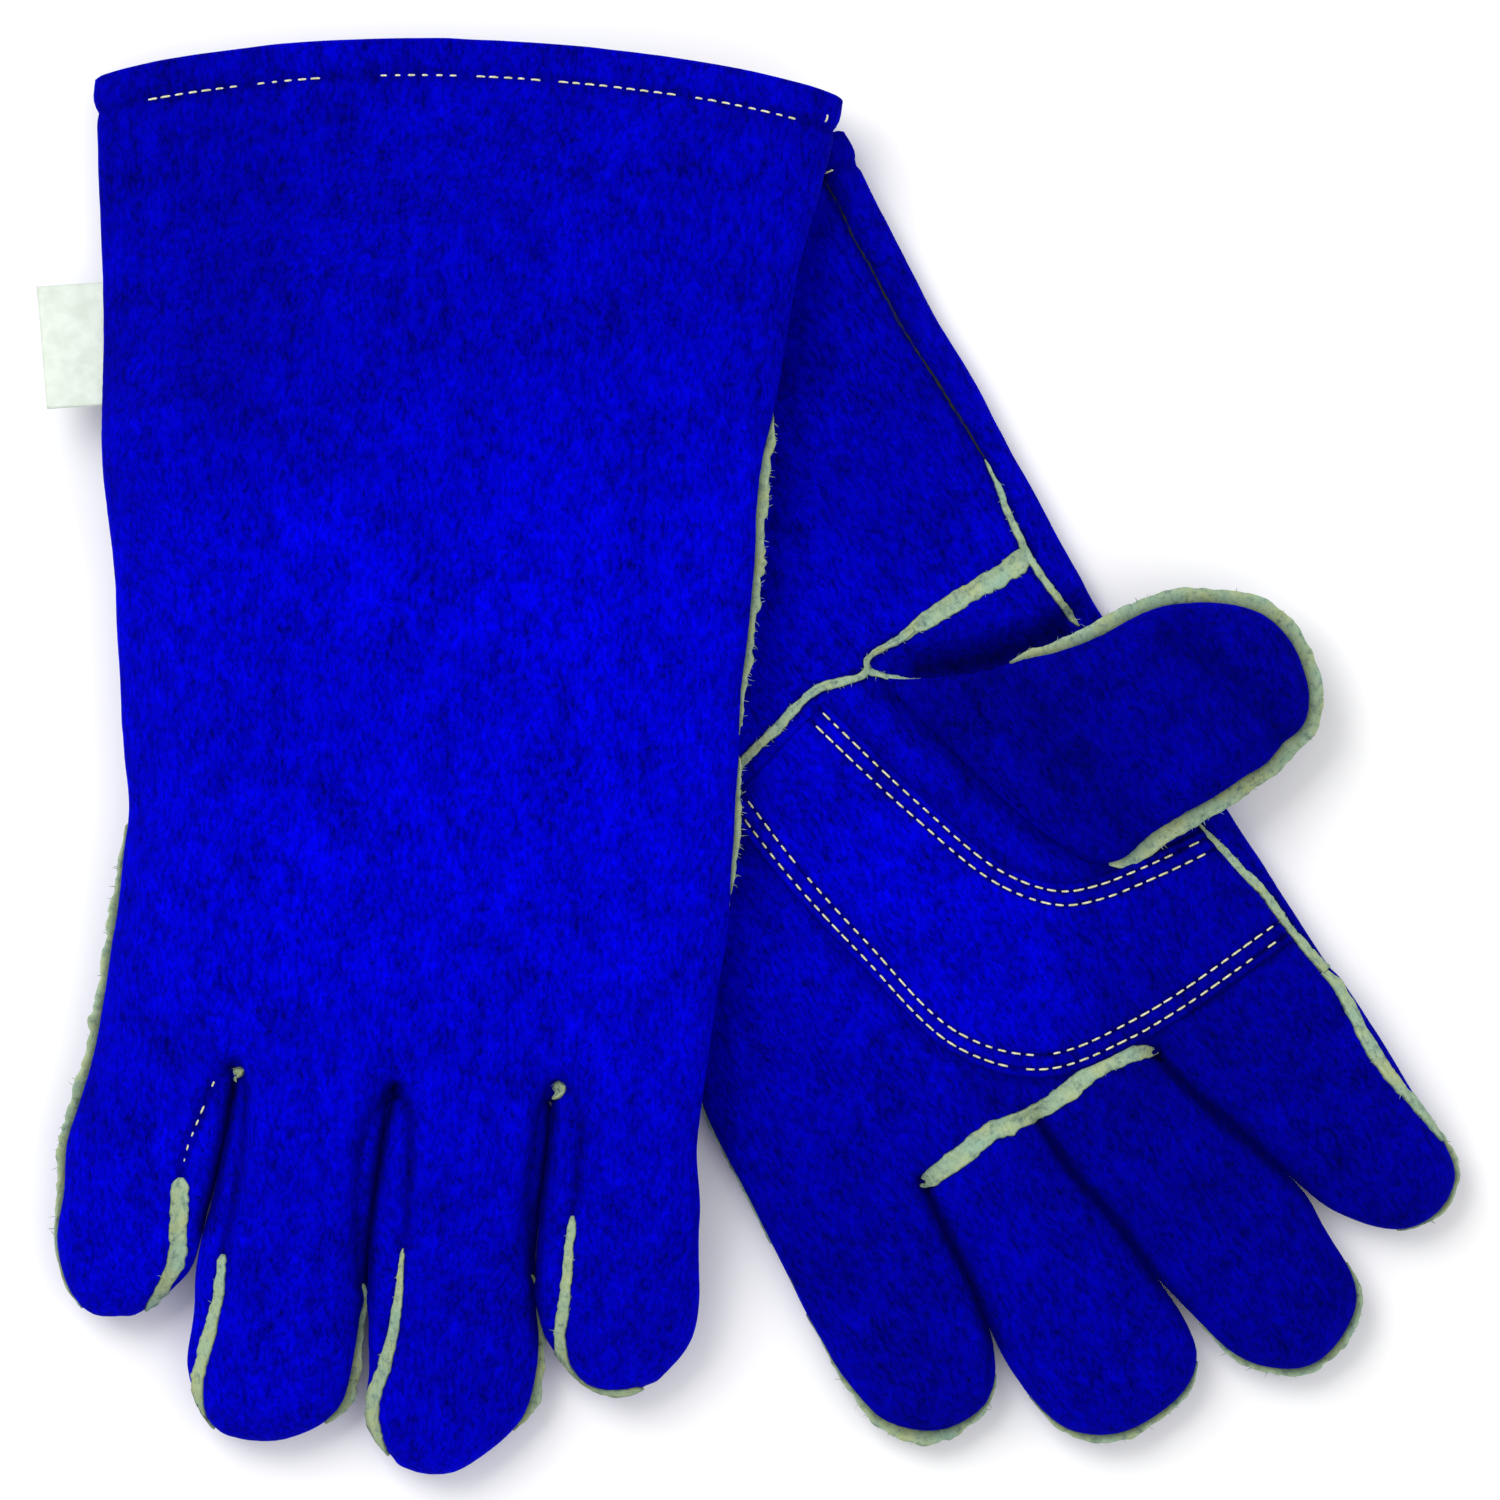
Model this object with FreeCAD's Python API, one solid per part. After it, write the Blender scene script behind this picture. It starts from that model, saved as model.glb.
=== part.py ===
import FreeCAD, Part
import math
import os

# A pair of split-leather welding gauntlets, 14 inches long, lying one across the other.
# Millimetres, +Z up.  The left glove lies palm up on the table; the right glove lies
# palm down across the left one's cuff, with its own thumb folded under its palm.
#
# Each glove has a flat pattern frame: s runs across the hand towards the thumb side,
# t runs from the finger crotches (t = 0) towards the cuff, and the fingers are at t < 0.

os.makedirs("parts", exist_ok=True)

# ---------------------------------------------------------------- driving dimensions

LEATHER = 1.4            # split leather
LINING = 1.2             # cotton fleece and canvas lining
EASE = 0.25              # air between leather and lining
LINING_OUT = LEATHER + EASE
HEM_IN = LEATHER + 0.4   # the turned hem's outer face inside the cuff's leather
CAVITY = LINING_OUT + LINING
WELT_HALF = 0.5          # half the thickness of the welt strip in a seam
SEAM_HALF = 0.9          # half the gap that a seam leaves for its welt
WELT_PROUD = 1.6         # how far a welt stands out of an open seam
FINGER_WELT_PROUD = 0.3  # the same between two fingers, where there is little room
TIP_WELT_PROUD = 1.3     # and round a fingertip
PATCH_LIFT = 0.5         # air under the palm patch
WELT_DEEP = 0.8          # how far a welt reaches into its seam
TIP_WELT_DEEP = 0.4      # and near a fingertip, where the lining is close behind it
THREAD_LIFT = 0.6        # air under a line of thread, which follows the leather less closely
THREAD_WIDE = 0.9
THREAD_HIGH = 0.4
HEM_DEEP = 9.0           # depth of the turned hem inside the cuff mouth
SQUARENESS = 2.5         # exponent of the cross-section: 2 is an ellipse

WRIST = 118.0            # where the palm panel meets the cuff's front panel
KNUCKLE_GAP = 0.2        # half the slit between the hand and its fingers
SEAM_INBOARD = 12.0      # the thumb-side seam lies this far in from the folded edge
ROUND = 12               # spans in each half of a cross-section

BOX_CENTRE = (0.6, 1.2)  # plan centre of the pair before it is moved to the origin
RIGHT_FRAME = (-88.3, -82.2, 0.0)   # x, y and turn in degrees of the pattern frame
LEFT_FRAME = (75.6, -87.7, 29.0)

UNDER_HIGH = 16.4        # the right glove's underside where it lies on the left glove
UNDER_LOW = 0.5          # and where it comes down to the table
RIGHT_HALF = 8.0         # half the thickness of the right glove's cuff and hand
LEFT_FLAT = 6.25         # half the thickness of the left glove under the right one
KNUCKLE_HALF = 8.8       # half the thickness of both gloves at the knuckles

V = FreeCAD.Vector


# ---------------------------------------------------------------- small maths

def lerp(table, x):
    """Straight-line interpolation in a table of (x, value) rows sorted by x."""
    rows = sorted(table)
    if x <= rows[0][0]:
        return rows[0][1]
    for (x0, v0), (x1, v1) in zip(rows, rows[1:]):
        if x <= x1:
            return v0 + (v1 - v0) * (x - x0) / (x1 - x0)
    return rows[-1][1]


def ramp(x):
    """0 below 0, 1 above 1, and an even S-curve between."""
    x = min(1.0, max(0.0, x))
    return x * x * (3.0 - 2.0 * x)


def edge_factor(c):
    """Height of the cross-section, 0 at its ends (c = -1, 1) and 1 in the middle."""
    return max(0.0, 1.0 - abs(c) ** SQUARENESS) ** (1.0 / SQUARENESS)


# ---------------------------------------------------------------- pattern of a glove

class Glove:
    """One glove: where it lies, which way its palm faces, and its pattern outlines."""

    def __init__(self, name, frame, palm):
        self.name = name
        self.x, self.y, self.turn = frame
        self.palm = palm     # +1 palm up, -1 palm down

    def world(self, s, t, z):
        a = math.radians(self.turn)
        x = self.x + s * math.cos(a) - t * math.sin(a) - BOX_CENTRE[0]
        y = self.y + s * math.sin(a) + t * math.cos(a) - BOX_CENTRE[1]
        return V(x, y, z)


RIGHT = Glove("right", RIGHT_FRAME, -1)
RIGHT.little_edge = [(0, -78.8), (12, -75.6), (25, -73), (37, -71), (50, -69), (68, -66),
                     (93, -67.5), (130, -69.4), (167, -71.7), (211, -73), (264, -75)]
RIGHT.thumb_edge = [(0, 76.8), (17, 79), (47, 83.3), (74, 84.8), (112, 87.8),
                    (154, 91.5), (171, 94.5), (203, 100.7), (223, 107), (264, 117)]
RIGHT.hem = [(-76, 250), (10, 260.8), (114, 243)]
RIGHT.stations = [0, 12, 25, 38, 52, 68, 90, 118, 150, 185, 203, 215, 228, 240, 252, 264]

LEFT = Glove("left", LEFT_FRAME, 1)
LEFT.little_edge = [(0, -77.6), (20, -76.8), (33, -76.4), (46, -72), (60, -68), (93, -67),
                    (118, -68), (145, -68.5), (170, -74), (200, -86), (248, -101)]
LEFT.thumb_edge = [(0, 77.6), (13, 76.4), (28, 75), (43, 74), (105, 70.7), (144, 70.4),
                   (173, 70.1), (208, 70.6), (248, 74)]
LEFT.hem = [(-101, 236), (-13, 245), (75, 238)]
LEFT.stations = [0, 12, 25, 38, 52, 68, 90, 118, 145, 170, 200, 225, 248]

# Fingers: (t, s) down the little-finger side and down the thumb side, to a blunt tip.
RIGHT.fingers = {
    "little": ([(0, -78.8), (-12, -82.1), (-25, -83.2), (-37, -85.1), (-45, -84),
                (-52, -81), (-57, -75.5)],
               [(0, -42.2), (-12, -43.6), (-25, -45.8), (-37, -48.6), (-45, -51.2),
                (-52, -55.5), (-57, -63)]),
    "ring": ([(0, -37.9), (-14, -40.2), (-31, -44.8), (-50, -49), (-68, -52.2),
              (-78, -50.5), (-84, -46.3), (-88, -38.5)],
             [(0, -2.8), (-14, -3.8), (-31, -5.8), (-50, -7), (-68, -8.6),
              (-78, -12), (-84, -17.5), (-88, -27)]),
    "middle": ([(0, 1.9), (-14, 0.2), (-31, -3.5), (-50, -5.4), (-68, -6.8),
                (-82, -8.2), (-90, -4), (-96, 5)],
               [(0, 37.2), (-14, 36.8), (-31, 35.6), (-50, 34.6), (-68, 36.4),
                (-82, 33), (-90, 24.8), (-96, 15)]),
    "index": ([(0, 40.6), (-14, 39), (-31, 37.2), (-50, 36.6), (-62, 38.6),
               (-70, 42.5), (-77, 51.5)],
              [(0, 76.4), (-14, 75.2), (-31, 76.2), (-50, 76.6), (-62, 74.8),
               (-70, 69), (-77, 58.5)]),
}
LEFT.fingers = {
    "little": ([(0, -77.6), (-12, -78.6), (-24, -78.8), (-35, -78.8), (-46, -76.4),
                (-53, -70.5), (-57.5, -62)],
               [(0, -39.4), (-12, -39.8), (-24, -40.4), (-35, -41.2), (-46, -43),
                (-53, -46.4), (-57.5, -52)]),
    "ring": ([(0, -36.4), (-14, -37.6), (-31, -39.2), (-48, -40.6), (-60, -40.3),
              (-70, -37.2), (-76, -30.5), (-79, -22)],
             [(0, -4.9), (-14, -2.9), (-31, -0.5), (-48, 2), (-60, 3.8),
              (-70, 3), (-76, -2.5), (-79, -12)]),
    "middle": ([(0, -1.4), (-14, -0.6), (-31, 1.5), (-48, 3.9), (-60, 5.3),
                (-72, 7.6), (-80, 12.4), (-86.5, 22)],
               [(0, 26.2), (-14, 30.9), (-31, 36.8), (-48, 42.4), (-60, 45.3),
                (-72, 46.5), (-80, 43), (-86.5, 32)]),
    "index": ([(0, 32.8), (-12, 35.2), (-24, 38.2), (-36, 41.6), (-48, 45.2),
               (-56, 47.2), (-63, 52.5), (-69, 62)],
              [(0, 77.6), (-12, 79.2), (-24, 79.8), (-36, 80.8), (-48, 81.6),
               (-56, 82), (-63, 80.4), (-69, 72)]),
}

# Thumbs: rungs across the thumb from its root to its tip, as ((s, t), (s, t), half height).
LEFT.thumb = [((40, 47), (16, 118), 6.6), ((50, 46.5), (36, 108.5), 7.6),
              ((64, 46.5), (56, 103), 7.8), ((80, 47), (78, 101), 7.8),
              ((92, 49.5), (93, 97), 7.2), ((101, 53.5), (102, 89), 5.8),
              ((107, 59.5), (107.4, 77), 3.2)]
RIGHT.thumb = [((-26, 74), (29, 74), 6.0), ((-26, 60), (28, 60), 6.1),
               ((-24.5, 45), (26.5, 45), 6.1), ((-21.5, 30), (24, 30), 6.0),
               ((-17, 17), (19.5, 17), 5.5), ((-10, 9), (13, 9), 4.6),
               ((-4, 5), (7, 5), 3.0)]
LEFT.thumb_floor = 14.6     # the left thumb lies on the palm, clear of its stitching
RIGHT.thumb_floor = 0.6     # the right thumb lies on the table under the palm
THUMB_DROOP = 5.0           # how far the left thumb's tip hangs below its root
THUMB_HOLE_IN = 3.0         # the thumb hole's margin inside the first two rungs

# Palm patch: rungs across a band that runs round the root of the thumb.
PATCH = [((-34, 104), (-1, 115)), ((-31, 81), (9, 86)), ((-24.5, 55), (18.5, 61)),
         ((-14, 24), (28, 49.5)), ((3, 9.5), (37, 46)), ((30, 6.5), (48, 44.5)),
         ((60.5, 7.5), (60.5, 42.5))]
STITCH_INSETS = (2.5, 6.0)   # the two stitch lines inside each edge of the patch


# ---------------------------------------------------------------- how each glove lies

# The right glove's underside is at full height to the thumb side of this line, (t, s) ...
FULL_HEIGHT_FROM = [(0, -5), (25, -28), (125, -28), (155, -52), (162, -50), (203, 20),
                    (238, 96), (264, 142)]
# ... and comes down to the table over this width, (t, width).
COME_DOWN_OVER = [(0, 80), (25, 58), (125, 55), (160, 70), (203, 100), (264, 112)]
FINGER_DROP_OVER = 85.0      # the right fingers come down to the table over this length


def right_under(s, t):
    station = max(0.0, t)
    width = lerp(COME_DOWN_OVER, station)
    share = ramp((s - lerp(FULL_HEIGHT_FROM, station) + width) / width)
    if t < 0:
        share *= 1.0 - ramp(-t / FINGER_DROP_OVER)
    return UNDER_LOW + (UNDER_HIGH - UNDER_LOW) * share


def right_half(s, t):
    return RIGHT_HALF + (KNUCKLE_HALF - RIGHT_HALF) * ramp(1.0 - t / 40.0)


def left_half(s, t):
    """The left hand swells towards the knuckles, except where the right glove presses."""
    beside = s * math.cos(math.radians(LEFT_FRAME[2])) - t * math.sin(math.radians(LEFT_FRAME[2]))
    free = ramp((beside + LEFT_FRAME[0] - 2.0) / 32.0)
    return LEFT_FLAT + (KNUCKLE_HALF - LEFT_FLAT) * ramp((44.0 - t) / 44.0) * free


RIGHT.under = right_under
RIGHT.half = right_half
LEFT.under = lambda s, t: 0.0
LEFT.half = left_half


def hand_mid(glove):
    return lambda s, t: glove.under(s, t) + glove.half(s, t)


def finger_mid(glove):
    return lambda s, t: glove.under(s, t) + glove.half(s, 0.0)


def thumb_mid(glove):
    """Mid height of the thumb, level at its root; the left one hangs at its tip."""
    tallest = max(rung[2] for rung in glove.thumb)
    centre = glove.thumb_floor + tallest
    if glove is RIGHT:
        return lambda s, t: centre
    return lambda s, t: centre - THUMB_DROOP * ramp((s - 62.0) / 48.0)


# ---------------------------------------------------------------- tubes made of rungs

class Rung:
    """A vertical cross-section over the line from p to q in the pattern frame."""

    def __init__(self, p, q, half, mid):
        self.p, self.q, self.half, self.mid = p, q, half, mid
        self.length = math.hypot(q[0] - p[0], q[1] - p[1])

    def point(self, glove, c, side, inset):
        """c runs from -1 at p to 1 at q; side is +1 towards the palm, -1 the back."""
        reach = 0.5 * self.length - inset
        share = 0.5 + c * reach / self.length
        s = self.p[0] + (self.q[0] - self.p[0]) * share
        t = self.p[1] + (self.q[1] - self.p[1]) * share
        half = self.half(s, t) - inset
        return glove.world(s, t, self.mid(s, t) + side * glove.palm * half * edge_factor(c))


def curve(points):
    """A spline through points, all of its kind sharing one set of parameters."""
    spline = Part.BSplineCurve()
    last = float(len(points) - 1)
    spline.interpolate(Points=points, Parameters=[i / last for i in range(len(points))])
    return spline.toShape()


def line(a, b):
    return Part.LineSegment(a, b).toShape()


def arc_points(rung, glove, inset, side, c_from, c_to):
    """Points along one face of a cross-section, closer together at its rounded ends."""
    a_from, a_to = math.acos(c_from), math.acos(c_to)
    angles = [a_from + (a_to - a_from) * i / ROUND for i in range(ROUND + 1)]
    return [rung.point(glove, math.cos(a), side, inset) for a in angles]


def seam_c(rung, inset, gap):
    """How near an end of the cross-section its height has fallen to gap."""
    share = gap / (rung.half(*rung.q) - inset)
    return (1.0 - share ** SQUARENESS) ** (1.0 / SQUARENESS)


def full_ring(rung, glove, inset):
    palm = arc_points(rung, glove, inset, 1, 1.0, -1.0)
    back = arc_points(rung, glove, inset, -1, -1.0, 1.0)
    back[0], back[-1] = palm[-1], palm[0]
    return Part.Wire([curve(palm), curve(back)])


def half_ring(rung, glove, side, gap):
    """One face of a cross-section closed by a chord beside the seam."""
    c = seam_c(rung, 0.0, gap)
    points = arc_points(rung, glove, 0.0, side, c, -c)
    return Part.Wire([curve(points), line(points[-1], points[0])])


def strip(outer, inner):
    """A closed wire between two curves that run the same way."""
    return Part.Wire([curve(outer), line(outer[-1], inner[-1]), curve(inner[::-1]),
                      line(inner[0], outer[0])])


def loft(wires):
    """A solid with straight generators from each closed wire to the next."""
    return Part.makeLoft(wires, True, True)


def moved_rung(rung, towards, distance):
    """A copy of a rung moved along the tube."""
    ax, ay = 0.5 * (rung.p[0] + rung.q[0]), 0.5 * (rung.p[1] + rung.q[1])
    bx, by = 0.5 * (towards.p[0] + towards.q[0]), 0.5 * (towards.p[1] + towards.q[1])
    share = distance / math.hypot(bx - ax, by - ay)

    def shifted(a, b):
        return a[0] + (b[0] - a[0]) * share, a[1] + (b[1] - a[1]) * share

    return Rung(shifted(rung.p, towards.p), shifted(rung.q, towards.q), rung.half, rung.mid)


def tube(rungs, glove, inset, overrun=0.0):
    """The solid inside a tube at an inset, closed at its tip, run past its root."""
    tip = moved_rung(rungs[-1], rungs[-2], inset) if inset else rungs[-1]
    inner = rungs[:-1] + [tip]
    if overrun:
        inner = [moved_rung(rungs[0], rungs[1], -overrun)] + inner
    return loft([full_ring(rung, glove, inset) for rung in inner])


def half_shell(rungs, glove, side):
    """The leather on one face of a closed tube."""
    outside = loft([half_ring(rung, glove, side, SEAM_HALF) for rung in rungs])
    return outside.cut(tube(rungs, glove, LEATHER, overrun=2.0))


def tube_lining(rungs, glove):
    return tube(rungs, glove, LINING_OUT).cut(tube(rungs, glove, CAVITY, overrun=2.0))


def seam_path(rungs):
    """Points down one side of a tube, across its tip and up the other side."""
    down = [(rung.p, rung) for rung in rungs]
    up = [(rung.q, rung) for rung in reversed(rungs)]
    tip = rungs[-1]
    middle = ((0.5 * (tip.p[0] + tip.q[0]), 0.5 * (tip.p[1] + tip.q[1])), tip)
    return down + [middle] + up


def edge_welt(rungs, glove, prouds):
    """A welt strip in the seam round a tube; prouds gives its stand-out at each rung."""
    path = seam_path(rungs)
    proud = prouds + [prouds[-1]] + prouds[::-1]
    deeps = [WELT_DEEP] * (len(rungs) - 3) + [TIP_WELT_DEEP] * 3
    deep = deeps + [deeps[-1]] + deeps[::-1]
    wires = []
    for i, ((s, t), rung) in enumerate(path):
        before, after = path[max(0, i - 1)][0], path[min(len(path) - 1, i + 1)][0]
        ds, dt = after[0] - before[0], after[1] - before[1]
        size = math.hypot(ds, dt)
        centre = (0.5 * (rungs[0].p[0] + rungs[0].q[0]), 0.5 * (rungs[0].p[1] + rungs[0].q[1]))
        nx, ny = dt / size, -ds / size
        if nx * (s - centre[0]) + ny * (t - centre[1]) < 0:
            nx, ny = -nx, -ny
        z = 0.5 * (rung.mid(*rung.p) + rung.mid(*rung.q)) if i == len(rungs) else rung.mid(s, t)
        corners = []
        for reach, up in ((-1, -1), (1, -1), (1, 1), (-1, 1)):
            out = proud[i] if reach > 0 else -deep[i]
            corners.append(glove.world(s + nx * out, t + ny * out, z + up * WELT_HALF))
        wires.append(Part.makePolygon(corners + corners[:1]))
    return loft(wires)


# ---------------------------------------------------------------- surfaces of the hand

def hand_rungs(glove, start, end):
    inside = [t for t in glove.stations if start + 2.0 < t < end - 2.0]
    return [Rung((lerp(glove.little_edge, t), t), (lerp(glove.thumb_edge, t), t),
                 glove.half, hand_mid(glove)) for t in [start] + inside + [end]]


def c_at(rung, inset, s):
    """The c of a point of a hand cross-section, which runs straight across, from its s."""
    middle = 0.5 * (rung.p[0] + rung.q[0])
    return (s - middle) / (0.5 * rung.length - inset)


def palm_surface(glove, s, t, lift):
    """A point standing lift outside the palm face of the hand or cuff."""
    little, thumb = lerp(glove.little_edge, t), lerp(glove.thumb_edge, t)
    c = (s - 0.5 * (little + thumb)) / (0.5 * (thumb - little))
    height = glove.half(s, t) * edge_factor(c) + lift
    return glove.world(s, t, hand_mid(glove)(s, t) + glove.palm * height)


def back_surface(glove, s, t, lift):
    """A point standing lift outside the back face of the hand or cuff."""
    little, thumb = lerp(glove.little_edge, t), lerp(glove.thumb_edge, t)
    c = (s - 0.5 * (little + thumb)) / (0.5 * (thumb - little))
    height = glove.half(s, t) * edge_factor(c) + lift
    return glove.world(s, t, hand_mid(glove)(s, t) - glove.palm * height)


def seam_s(t, glove):
    return lerp(glove.thumb_edge, t) - SEAM_INBOARD


def front_wire(rung, glove):
    """Palm-side leather from the thumb-side seam to the little-finger edge."""
    faces = []
    for inset in (0.0, LEATHER):
        c_thumb = c_at(rung, inset, seam_s(rung.p[1], glove) - SEAM_HALF)
        faces.append(arc_points(rung, glove, inset, 1, c_thumb, -seam_c(rung, inset, SEAM_HALF)))
    return strip(*faces)


def back_wire(rung, glove):
    """Leather over the back, round the thumb-side fold and onto the palm face."""
    faces = []
    for inset in (0.0, LEATHER):
        c_thumb = c_at(rung, inset, seam_s(rung.p[1], glove) + SEAM_HALF)
        back = arc_points(rung, glove, inset, -1, -seam_c(rung, inset, SEAM_HALF), 1.0)
        fold = arc_points(rung, glove, inset, 1, 1.0, c_thumb)
        faces.append(back + fold[2::2])
    return strip(*faces)


def hem_prism(glove, back_off, deep):
    """A tall block over the cuff between two copies of the hem's curve."""
    (s0, t0), (s1, t1), (s2, t2) = glove.hem
    slope0, slope2 = (t1 - t0) / (s1 - s0), (t2 - t1) / (s2 - s1)
    s_in, s_out = s0 - 25.0, s2 + 25.0

    def hem_curve(off):
        return [glove.world(s_in, t0 - 25.0 * slope0 - off, -20.0),
                glove.world(s1, t1 - off, -20.0),
                glove.world(s_out, t2 + 25.0 * slope2 - off, -20.0)]

    a, b = hem_curve(back_off), hem_curve(back_off + deep)
    rim = Part.Wire([Part.Arc(*a).toShape(), line(a[2], b[2]),
                     Part.Arc(*b[::-1]).toShape(), line(b[0], a[0])])
    return Part.Face(rim).extrude(V(0, 0, 90))


def trim_to_hem(shape, glove):
    return shape.common(hem_prism(glove, 0.0, 400.0))


def thumb_hole(glove):
    """The block that the thumb hole removes from the palm leather and the lining."""
    (p0, q0, _), (p1, q1, _) = glove.thumb[0], glove.thumb[1]
    middle = (0.25 * (p0[0] + q0[0] + p1[0] + q1[0]), 0.25 * (p0[1] + q0[1] + p1[1] + q1[1]))
    mid = hand_mid(glove)(*middle)
    corners = []
    for s, t in (p0, q0, q1, p1):
        size = math.hypot(middle[0] - s, middle[1] - t)
        share = 2.0 * THUMB_HOLE_IN / size
        corners.append(glove.world(s + (middle[0] - s) * share, t + (middle[1] - t) * share, mid))
    return Part.Face(Part.makePolygon(corners + corners[:1])).extrude(V(0, 0, 60 * glove.palm))


def ridge(path, glove, surface, width, low, high):
    """A strip of rectangular section that follows a face along a path of (s, t)."""
    wires = []
    for i, (s, t) in enumerate(path):
        before, after = path[max(0, i - 1)], path[min(len(path) - 1, i + 1)]
        ds, dt = after[0] - before[0], after[1] - before[1]
        size = math.hypot(ds, dt)
        nx, ny = 0.5 * width * dt / size, -0.5 * width * ds / size
        corners = [surface(glove, s - nx, t - ny, low), surface(glove, s + nx, t + ny, low),
                   surface(glove, s + nx, t + ny, high), surface(glove, s - nx, t - ny, high)]
        wires.append(Part.makePolygon(corners + corners[:1]))
    return loft(wires)


def between(a, b, count):
    return [a + (b - a) * i / (count - 1) for i in range(count)]


# ---------------------------------------------------------------- sub-parts of a glove

def back_panel(glove):
    rungs = hand_rungs(glove, KNUCKLE_GAP, glove.stations[-1])
    return trim_to_hem(loft([back_wire(rung, glove) for rung in rungs]), glove)


def palm_panel(glove):
    rungs = hand_rungs(glove, KNUCKLE_GAP, WRIST - SEAM_HALF)
    return loft([front_wire(rung, glove) for rung in rungs]).cut(thumb_hole(glove))


def cuff_front_panel(glove):
    rungs = hand_rungs(glove, WRIST + SEAM_HALF, glove.stations[-1])
    return trim_to_hem(loft([front_wire(rung, glove) for rung in rungs]), glove)


def sleeve(glove, start, end, outside, inside):
    """An open sleeve of lining between two insets."""
    outer = loft([full_ring(rung, glove, outside) for rung in hand_rungs(glove, start, end)])
    inner = loft([full_ring(rung, glove, inside)
                  for rung in hand_rungs(glove, start - 1.0, end + 1.0)])
    return outer.cut(inner)


def hand_lining(glove):
    return sleeve(glove, KNUCKLE_GAP, WRIST - 0.5, LINING_OUT, CAVITY).cut(thumb_hole(glove))


def cuff_lining(glove):
    whole = sleeve(glove, WRIST + 0.5, glove.stations[-1], LINING_OUT, CAVITY)
    return whole.common(hem_prism(glove, HEM_DEEP + 0.4, 400.0))


def cuff_hem(glove):
    """The leather turned back inside the cuff mouth."""
    whole = sleeve(glove, glove.stations[-4], glove.stations[-1],
                   HEM_IN, HEM_IN + LEATHER)
    return whole.common(hem_prism(glove, 0.0, HEM_DEEP))


def seam_welts(glove):
    """Welts of the two side seams, the wrist seam and the base of the middle fingers."""
    cuff_end = {t: glove.hem[i][1] - 4.0 for i, t in ((0, "little"), (2, "thumb"))}
    side = [t for t in glove.stations if 6 < t < cuff_end["little"] - 3]
    edge = []
    for t in [3.0] + side + [cuff_end["little"]]:
        s, mid = lerp(glove.little_edge, t), hand_mid(glove)(lerp(glove.little_edge, t), t)
        corners = [glove.world(s + out, t, mid + up * WELT_HALF) for out, up in
                   ((-WELT_PROUD, -1), (WELT_DEEP, -1), (WELT_DEEP, 1), (-WELT_PROUD, 1))]
        edge.append(Part.makePolygon(corners + corners[:1]))
    face = [t for t in glove.stations if 6 < t < cuff_end["thumb"] - 3]
    path = [(seam_s(t, glove), t) for t in [3.0] + face + [cuff_end["thumb"]]]
    wrist_from = seam_s(WRIST, glove) - SEAM_HALF - 0.6
    wrist_to = lerp(glove.little_edge, WRIST) + 5.0
    wrist = [(s, WRIST) for s in between(wrist_from, wrist_to, 12)]
    little, index = glove.fingers["little"], glove.fingers["index"]
    base = [(s, 2.4) for s in between(little[1][0][1] + 4.0, index[0][0][1] - 4.0, 9)]
    return Part.makeCompound([
        loft(edge),
        ridge(path, glove, palm_surface, 2 * WELT_HALF, -WELT_DEEP, WELT_PROUD),
        ridge(wrist, glove, palm_surface, 2 * WELT_HALF, -WELT_DEEP, WELT_PROUD),
        ridge(base, glove, palm_surface, 3.0, PATCH_LIFT, WELT_PROUD)])


def patch_point(share_along, share_across):
    """A point of the palm patch: along it from the wrist, across it towards the thumb."""
    position = share_along * (len(PATCH) - 1)
    i = min(int(position), len(PATCH) - 2)
    f = position - i
    (a0, b0), (a1, b1) = PATCH[i], PATCH[i + 1]
    a = (a0[0] + (a1[0] - a0[0]) * f, a0[1] + (a1[1] - a0[1]) * f)
    b = (b0[0] + (b1[0] - b0[0]) * f, b0[1] + (b1[1] - b0[1]) * f)
    return a[0] + (b[0] - a[0]) * share_across, a[1] + (b[1] - a[1]) * share_across


def palm_patch(glove):
    wires = []
    for along in between(0.0, 1.0, 2 * len(PATCH) - 1):
        points = [patch_point(along, across) for across in between(0.0, 1.0, 9)]
        low = [palm_surface(glove, s, t, PATCH_LIFT) for s, t in points]
        high = [palm_surface(glove, s, t, PATCH_LIFT + LEATHER) for s, t in points]
        wires.append(strip(low, high))
    return loft(wires)


def threads(glove):
    """The lines of stitching round the palm patch and along the hem."""
    low = PATCH_LIFT + LEATHER + THREAD_LIFT
    lines = []
    for edge in (0, 1):
        for inset in STITCH_INSETS:
            path = []
            for x in between(0.02, 0.98, 21):
                a, b = patch_point(x, 0.0), patch_point(x, 1.0)
                share = inset / math.hypot(b[0] - a[0], b[1] - a[1])
                path.append(patch_point(x, 1.0 - share if edge else share))
            lines.append(ridge(path, glove, palm_surface, THREAD_WIDE, low, low + THREAD_HIGH))
    (s0, t0), (s1, t1), (s2, t2) = glove.hem
    hem = []
    for s in between(s0 + 9.0, s2 - 9.0, 13):
        t = t0 if s < s1 else t2
        away = (s - s1) / ((s0 if s < s1 else s2) - s1)
        hem.append((s, t1 + (t - t1) * away * away - HEM_DEEP))
    # Where a row of stitches lies on the table it is pressed into the leather and left out.
    front = [p for p in hem if p[0] < s2 - 24.0 and (glove is LEFT or glove.under(*p) > 1.2)]
    lines.append(ridge(front, glove, palm_surface, THREAD_WIDE, THREAD_LIFT,
                       THREAD_LIFT + THREAD_HIGH))
    if glove is RIGHT:
        lines.append(ridge(hem, glove, back_surface, THREAD_WIDE, THREAD_LIFT,
                           THREAD_LIFT + THREAD_HIGH))
    return Part.makeCompound(lines)


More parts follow.
